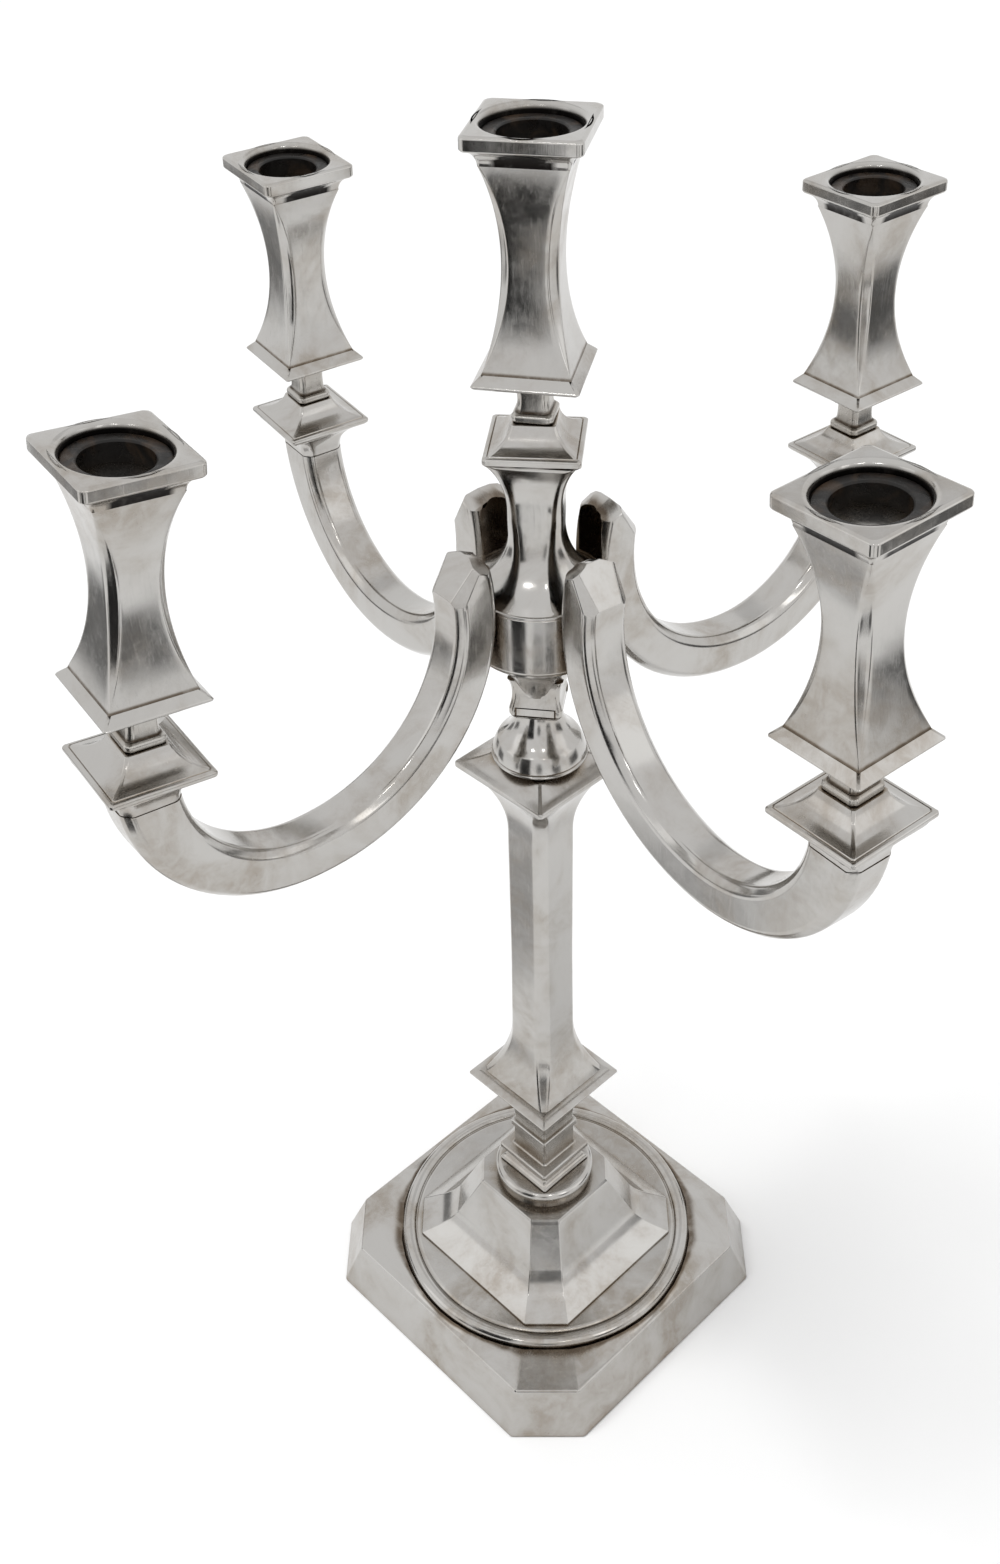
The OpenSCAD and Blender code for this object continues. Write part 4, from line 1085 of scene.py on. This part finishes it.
def makeArm(name, a, where, profile):
    shift = unit["shift"][where]
    seam = unit["seamZ"]
    (ri, zi), (ro, zo) = a["far"]
    farEnd = seam + a["pastSeam"]
    (rn, zn), (rm, zm) = a["near"]
    obj = grown(name, sweptArm, {
        "Middle": a["midR"] + min(shift, 0.0), "Insert": max(float(shift), 0.0),
        "Far Inner Radius": ri, "Far Inner Height": zi, "Far Inner End": math.asin((farEnd - zi) / ri),
        "Far Outer Radius": ro, "Far Outer Height": zo, "Far Outer End": math.asin((farEnd - zo) / ro),
        "Near Inner Radius": rn, "Near Inner Height": zn, "Near Outer Radius": rm, "Near Outer Height": zm,
        "Near End": math.radians(a["nearEnd"])}, silver, profile.copy())
    # close both ends, then cut them to shape
    with editing(obj.data) as bm:
        bmesh.ops.holes_fill(bm, edges=[e for e in bm.edges if e.is_boundary], sides=0)
        bmesh.ops.recalc_face_normals(bm, faces=bm.faces)
    move = min(shift, 0.0)
    planes = headPlanes(a, move)
    tip = lambda co: co.x < a["tipX"] * mm and co.z > a["endsZ"] * mm
    sliced(obj, [(n * d * mm, n, tip) for n, d in planes])
    reach = (unit["reach"] + shift) * mm
    lean = Matrix.Rotation(math.radians(-unit["leanIn"][where]), 3, "Y") \
        @ Matrix.Rotation(math.radians(-unit["leanSide"][where]), 3, "X")
    sliced(obj, [(Vector((reach, 0, (seam - 0.02) * mm)), lean @ Vector((0, 0, 1)),
                  lambda co: co.x > reach - 30 * mm and co.z > a["endsZ"] * mm)])
    # pocket open towards the hub, a small hole at its head, and the hollow that seats on the drum
    x0, x1, w, z0, z1 = a["pocket"]
    arch = [(-w / 2, z0), (w / 2, z0)]
    for i in range(13):
        angle = math.pi * i / 12
        arch.append((w / 2 * math.cos(angle), z1 - a["archHigh"] + a["archHigh"] * math.sin(angle)))
    pocket = loft("pocket", [[(x, y, z) for y, z in arch] for x in (x0, x1)])
    hole = loft("hole", turned([(a["holeR"], 28), (a["holeR"], 31.5)], 20))
    hole.data.transform(Matrix.Translation((0, 0, a["holeZ"] * mm)) @ Matrix.Rotation(math.pi / 2, 4, "Y"))
    seat = loft("seat", turned([(a["seatR"], 300), (a["seatR"], a["seatZ"])], 96))
    obj = joined(obj, [], [seat, pocket, hole], 0.55)
    # the inside of the pocket is painted darker towards its arched top, as painted shade
    def pocketShade(p):
        held = 15 < p.x < x1 + 0.8 and abs(p.y) < w / 2 + 0.3 and p.z < z1 + 0.3
        return (p.z - 366) / 4 if held else 0

    painted(obj, "dirtAndShade", pocketShade)
    obj.data.transform(Matrix.Rotation(math.radians(armTurn(where)), 4, "Z"))
    return obj


section = armProfile(arm)
for where in arms:
    settle(makeArm("arm" + where.title(), arm, where, section), "branch", "silver", silver, "arm_" + where)
print("arms ready")

# sockets

socket = dict(lipHalf=16.65, waistHalf=8.2, waistCut=2.45, lowHalf=13, topHalf=12.5, mouthR=13.9, cupR=9.7,
              cupWall=0.8, cupDepth=10, edgeZ=0.7, baseTopZ=3.6, bodyTopZ=62.4, lipLowZ=67.1, lipTopZ=71.2,
              ledge=3.6, waistZ=34.0, faceR=96.8, edgeR=56.8, mouthRound=1.9, cornerRound=2.0,
              baseHalf=15.96, neckHalf=(6.4, 4.9, 7.2), neckHeight=16.37, centreNeckHeight=14.37)


def makeBase(s):
    points = softened([(7.4, 0, 0), (s["baseHalf"] - 0.6, 0, 0.3), (s["baseHalf"], s["edgeZ"], 0.5),
                       (s["baseHalf"] - 0.25, s["edgeZ"] + 0.4, 0.2), (s["lowHalf"] + 0.2, s["baseTopZ"], 0)])
    return loft("base", squareLevels(points, 0.5, 5, 0.6))


def makeBody(s):
    z, face, edge = s["waistZ"], s["faceR"], s["edgeR"]
    obj = hollowPiece("body", {"Levels": 48, "Low": s["baseTopZ"], "Top": s["bodyTopZ"], "Softness": 0.7},
                      face=(s["waistHalf"], z, face, z, face),
                      edge=(cornerReach(s["waistHalf"], s["waistCut"]), z, edge, z, edge))
    # darker over its lowest millimetre, where it meets the base
    return painted(cleaned(obj, barAngle), "dirtAndShade", lambda p: 1.1 - (p.z - s["baseTopZ"]) / 1.1)


def makeLip(s):
    top, m, wall = s["lipTopZ"], s["mouthR"], s["cupR"] + s["cupWall"]
    cove = arcRun((s["topHalf"], s["bodyTopZ"]), (s["lipHalf"] - 0.6, s["lipLowZ"]), 0.75, 9)
    outer = cove + softened([(s["lipHalf"] - 0.3, s["lipLowZ"], 0), (s["lipHalf"], s["lipLowZ"] + 0.4, 0.3),
                             (s["lipHalf"], top - 0.4, 0.8), (s["lipHalf"] - 0.9, top, 0.6),
                             (s["lipHalf"] - 1.4, top, 0)])
    rings = []
    for p in outer:  # the plan corners are rounder at the plate than at the body
        t = min(max((p[1] - s["bodyTopZ"]) / 4, 0), 1)
        rings.append(cutSquareRing(p[0], 0.6 + 0.6 * t, p[1], 0.5 + s["cornerRound"] * t, 13))
    like = rings[-1]
    # the mouth's edge is well rounded
    soft = s["mouthRound"]
    rings.append(roundRing(m + soft + 0.5, top, like))
    for i in range(8):
        a = math.radians(90 * i / 7)
        rings.append(roundRing(m + soft * (1 - math.sin(a)), top - soft * (1 - math.cos(a)), like))
    for r, z in ((m, top - s["ledge"]), (wall, top - s["ledge"]), (wall, s["bodyTopZ"])):
        rings.append(roundRing(r, z, like))
    # the wall of the mouth carries soot, thinning out over the rounded edge
    return painted(loft("lip", rings, closed=True), "soot",
                   lambda p: 0 if p.xy.length > m + 1.3 else (top - p.z - 0.6) / 1.2)


def makeCup(s):
    ledgeZ = s["lipTopZ"] - s["ledge"]
    r, w, m = s["cupR"], s["cupWall"], s["mouthR"]
    low = ledgeZ - s["cupDepth"]
    profile = softened([(0.01, low - 9, 0), (r - 2.6, low - 8.6, 1.0), (r, low, 1.0), (r, ledgeZ + 0.3, 0),
                        (r + 0.5, ledgeZ + 0.8, 0.4), (m - 0.4, ledgeZ + 0.8, 0.2), (m - 0.05, ledgeZ + 0.5, 0),
                        (m - 0.05, ledgeZ, 0), (r + w, ledgeZ, 0), (r + w, low, 0), (r - 2, low - 9.8, 0),
                        (0.01, low - 9.8, 0)])
    return loft("cup", turned(profile, 80))


def makeNeck(s, height):
    low, mid, top = s["neckHalf"]
    points = softened([(low - 0.6, -height, 0), (low, -height + 0.6, 0.6), (low, -height + 2.2, 0.6),
                       (low - 0.9, -height + 2.9, 0.3), (mid + 0.3, -height + 3.0, 0.3), (mid, -height + 4.4, 1.2)])
    points += arcRun((mid, -height + 4.4), (mid + 0.1, -5.2), 0.15, 4)[1:]
    points += arcRun((mid + 0.1, -5.2), (top, -0.6), 0.7, 7)[1:] + [(top, 0)]

    # darker at its foot, in the step above it and at its top, where it meets the pan and the socket's base: partly
    # dark joints, partly painted shade
    def inCorners(p):
        up = p.z + height
        return max(0.8 - up / 0.7, 0.9 - abs(up - 3.1) / 0.5, 1 + (p.z + 0.5))

    return painted(loft("neck", squareLevels(points, 1.6, 3, 1.3)), "dirtAndShade", inCorners)


def makeSockets(s):
    # each master, with its slot and finish
    masters = dict(base=(makeBase(s), "silver", silver), body=(makeBody(s), "silver", silver),
                   lip=(makeLip(s), "silver", silver), cup=(makeCup(s), "sooted_cup", soot),
                   neck=(makeNeck(s, s["neckHeight"]), "worn_silver", wornSilver))
    centreNeck = makeNeck(s, s["centreNeckHeight"])
    for where in arms + ["centre"]:
        turn, lift = unit["socketTurn"][where], unit["centreZ"]
        if where != "centre":
            turn, lift = turn - (unit["turn"] + unit["adjust"][where]), unit["socketZ"]
        for kind, (master, slot, finish) in masters.items():
            if kind == "neck" and where == "centre":
                master = centreNeck
            piece = atLight(kind + where.title(), where, master, finish, turn, lift)
            settle(piece, "socket_" + where, slot, finish, kind + "_" + where)
    for master in [m[0] for m in masters.values()] + [centreNeck]:
        discard(master)


makeSockets(socket)
print("sockets ready")

# the hidden fittings keep their own shape
for name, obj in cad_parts.items():
    if not obj.hide_render:
        obj.data.materials.clear()
        obj.data.materials.append(steel if name in ("tie_rod", "rod_washer", "rod_nut", "arm_screws") else wornSilver)
        print("kept", name)

# floor, light and camera

stage = dict(floorHalf=4.0, floorZ=-0.0002, floorTone=0.97, plainLevel=0.54,
             sun=dict(power=1.8, spread=26, aim=(0.34, 0.26, -1.0)),
             boxes=[dict(at=(-0.68, -1.18, 0.95), size=(0.7, 1.0), power=0.8),
                    dict(at=(1.18, 0.68, 0.95), size=(0.7, 1.0), power=0.75),
                    dict(at=(1.3, -0.1, 1.1), size=(0.25, 0.8), power=0.9),
                    dict(at=(0.55, -1.35, 1.9), size=(0.13, 0.13), power=0.9),
                    dict(at=(1.25, -0.75, 1.9), size=(0.13, 0.13), power=0.9)])


def placed(name, data, at=(0, 0, 0), aim=None):
    obj = bpy.data.objects.new(name, data)
    obj.location = at
    if aim is not None:
        obj.rotation_euler = Vector(aim).to_track_quat("-Z", "Y").to_euler()
    bpy.context.scene.collection.objects.link(obj)
    return obj


def whiteForSight(tree):
    # camera, mirror and glass rays find plain white, all others the lit surface
    rays = node(tree, "ShaderNodeLightPath")
    seen = sums(tree, "MAXIMUM", rays.outputs["Is Glossy Ray"], rays.outputs["Is Transmission Ray"])
    return sums(tree, "MAXIMUM", seen, rays.outputs["Is Camera Ray"])


def sheet(name, x, y, z=0):
    mesh = bpy.data.meshes.new(name)
    mesh.from_pydata([(-x, -y, z), (x, -y, z), (x, y, z), (-x, y, z)], [], [(0, 1, 2, 3)])
    return mesh


def makeFloor(s):
    mesh = sheet("floor", s["floorHalf"], s["floorHalf"], s["floorZ"])
    floor = placed("floor", mesh)
    mat, _, shader = makeMaterial("paleFloor")
    shader.inputs["Base Color"].default_value = (s["floorTone"],) * 3 + (1,)
    shader.inputs["Roughness"].default_value = 0.9
    shader.inputs["Specular IOR Level"].default_value = 0.0
    mesh.materials.append(mat)


makeFloor(stage)


def makeWorld(s):
    world = bpy.data.worlds.new("room")
    bpy.context.scene.world = world
    world.use_nodes = True
    tree = world.node_tree
    plain = tree.nodes["Background"]
    plain.inputs["Color"].default_value = (1, 1, 1, 1)
    plain.inputs["Strength"].default_value = s["plainLevel"]
    white = node(tree, "ShaderNodeBackground", Color=(1, 1, 1, 1), Strength=1.0)
    mix = node(tree, "ShaderNodeMixShader")
    tree.links.new(whiteForSight(tree), mix.inputs[0])
    tree.links.new(plain.outputs[0], mix.inputs[1])
    tree.links.new(white.outputs[0], mix.inputs[2])
    tree.links.new(mix.outputs[0], tree.nodes["World Output"].inputs["Surface"])


makeWorld(stage)


def makeSun(s):
    sun = bpy.data.lights.new("sun", "SUN")
    sun.energy = s["power"]
    sun.angle = math.radians(s["spread"])
    placed("sun", sun, (0, 0, 2), s["aim"]).visible_glossy = False


makeSun(stage["sun"])


def makeBox(i, b):
    # a soft box that faces the middle of the object
    box = bpy.data.lights.new("softBox%d" % i, "AREA")
    box.shape = "RECTANGLE"
    box.size, box.size_y = b["size"]
    box.energy = b["power"]
    middle = Vector((0, 0, 0.3))
    placed(box.name, box, b["at"], middle - Vector(b["at"]))


for i, b in enumerate(stage["boxes"]):
    makeBox(i, b)

# glowing boards round the object that only its polish can see, which paint dark and pale reflections on it: at and
# low say where each stands or lies, tone how bright it glows, and outside its core its edges fade
boards = [dict(at=(0.085, -0.403), size=(0.19, 0.46), low=0.0, tone=0.03, core=0.86),
          dict(at=(0.48, -0.50), size=(0.20, 0.50), low=0.0, tone=0.22, core=0.3),
          dict(at=(0.62, 0.52), size=(0.50, 0.34), low=0.0, tone=0.14, core=0.55),
          dict(at=(0.62, -0.06), size=(0.22, 0.30), low=0.0, tone=0.22, core=0.5),
          dict(at=(-0.62, -0.40), size=(0.34, 0.27), low=0.0, tone=0.20, core=0.5),
          dict(at=(-0.80, -0.10), size=(0.30, 0.30), low=0.0, tone=0.25, core=0.5),
          dict(at=(-0.19, -0.17), size=(0.17, 0.20), low=0.001, tone=0.55, core=0.4, lying=True),
          dict(at=(-0.50, 0.60), size=(0.5, 0.7), low=1.05, tone=0.78, core=0.5, lying=True),
          dict(at=(0.46, -0.22), size=(0.20, 0.24), low=0.001, tone=0.12, core=0.4, lying=True),
          dict(at=(0.35, -0.35), size=(0.16, 0.22), low=0.001, tone=0.10, core=0.4, lying=True),
          dict(at=(1.0, -1.0), size=(0.36, 0.34), low=0.0, tone=0.30, core=0.4)]
# slim dark ones, whose reflections draw the thin dark lines on rounded edges
for turn, wide in ((-98, 0.14), (-14, 0.10), (88, 0.16), (168, 0.16)):
    a = math.radians(turn)
    boards.append(dict(at=(0.95 * math.cos(a), 0.95 * math.sin(a)), size=(wide, 0.42), low=0.0, tone=0.03, core=0.5))


def makeBoard(i, b):
    w, t = b["size"][0] / 2, b["size"][1] / 2
    mesh = sheet("board", w, t)
    x, y = b["at"]
    lying = b.get("lying", False)
    board = placed("board%d" % i, mesh, (x, y, b["low"] + (0 if lying else t)), (x, y, 0))
    if lying:
        board.rotation_euler = (0, 0, math.atan2(y, x))
    mat, tree, _ = makeMaterial("board%d" % i)
    link = tree.links.new
    place = node(tree, "ShaderNodeTexCoord").outputs["Object"]
    split = node(tree, "ShaderNodeSeparateXYZ")
    link(place, split.inputs[0])
    across = shaped(tree, sums(tree, "ABSOLUTE", split.outputs["X"], None, clamp=False), w, w * b["core"])
    up = shaped(tree, sums(tree, "ABSOLUTE", split.outputs["Y"], None, clamp=False), t, t * b["core"])
    clear = node(tree, "ShaderNodeBsdfTransparent")
    glow = node(tree, "ShaderNodeEmission", Color=(b["tone"],) * 3 + (1,), Strength=1.0)
    mix = node(tree, "ShaderNodeMixShader")
    link(sums(tree, "MULTIPLY", across, up), mix.inputs[0])
    link(clear.outputs[0], mix.inputs[1])
    link(glow.outputs[0], mix.inputs[2])
    link(mix.outputs[0], tree.nodes["Material Output"].inputs["Surface"])
    mesh.materials.append(mat)
    board.visible_camera = board.visible_diffuse = board.visible_shadow = board.visible_transmission = False


for i, b in enumerate(boards):
    makeBoard(i, b)

camera = dict(at=(0.3105, -0.3106, 0.6500), look=(-0.5603, 0.5256, -0.6402), roll=-0.0323, lens=37.23)


def makeCamera(c):
    data = bpy.data.cameras.new("camera")
    data.lens = c["lens"]
    data.sensor_width = 36
    data.sensor_fit = "AUTO"
    data.clip_start = 0.02
    obj = placed("camera", data)
    turn = Vector(c["look"]).to_track_quat("-Z", "Y").to_matrix() @ Matrix.Rotation(c["roll"], 3, "Z")
    obj.matrix_world = Matrix.Translation(c["at"]) @ turn.to_4x4()
    bpy.context.scene.camera = obj


makeCamera(camera)
bpy.context.scene.view_settings.view_transform = "Standard"

print("scene ready")
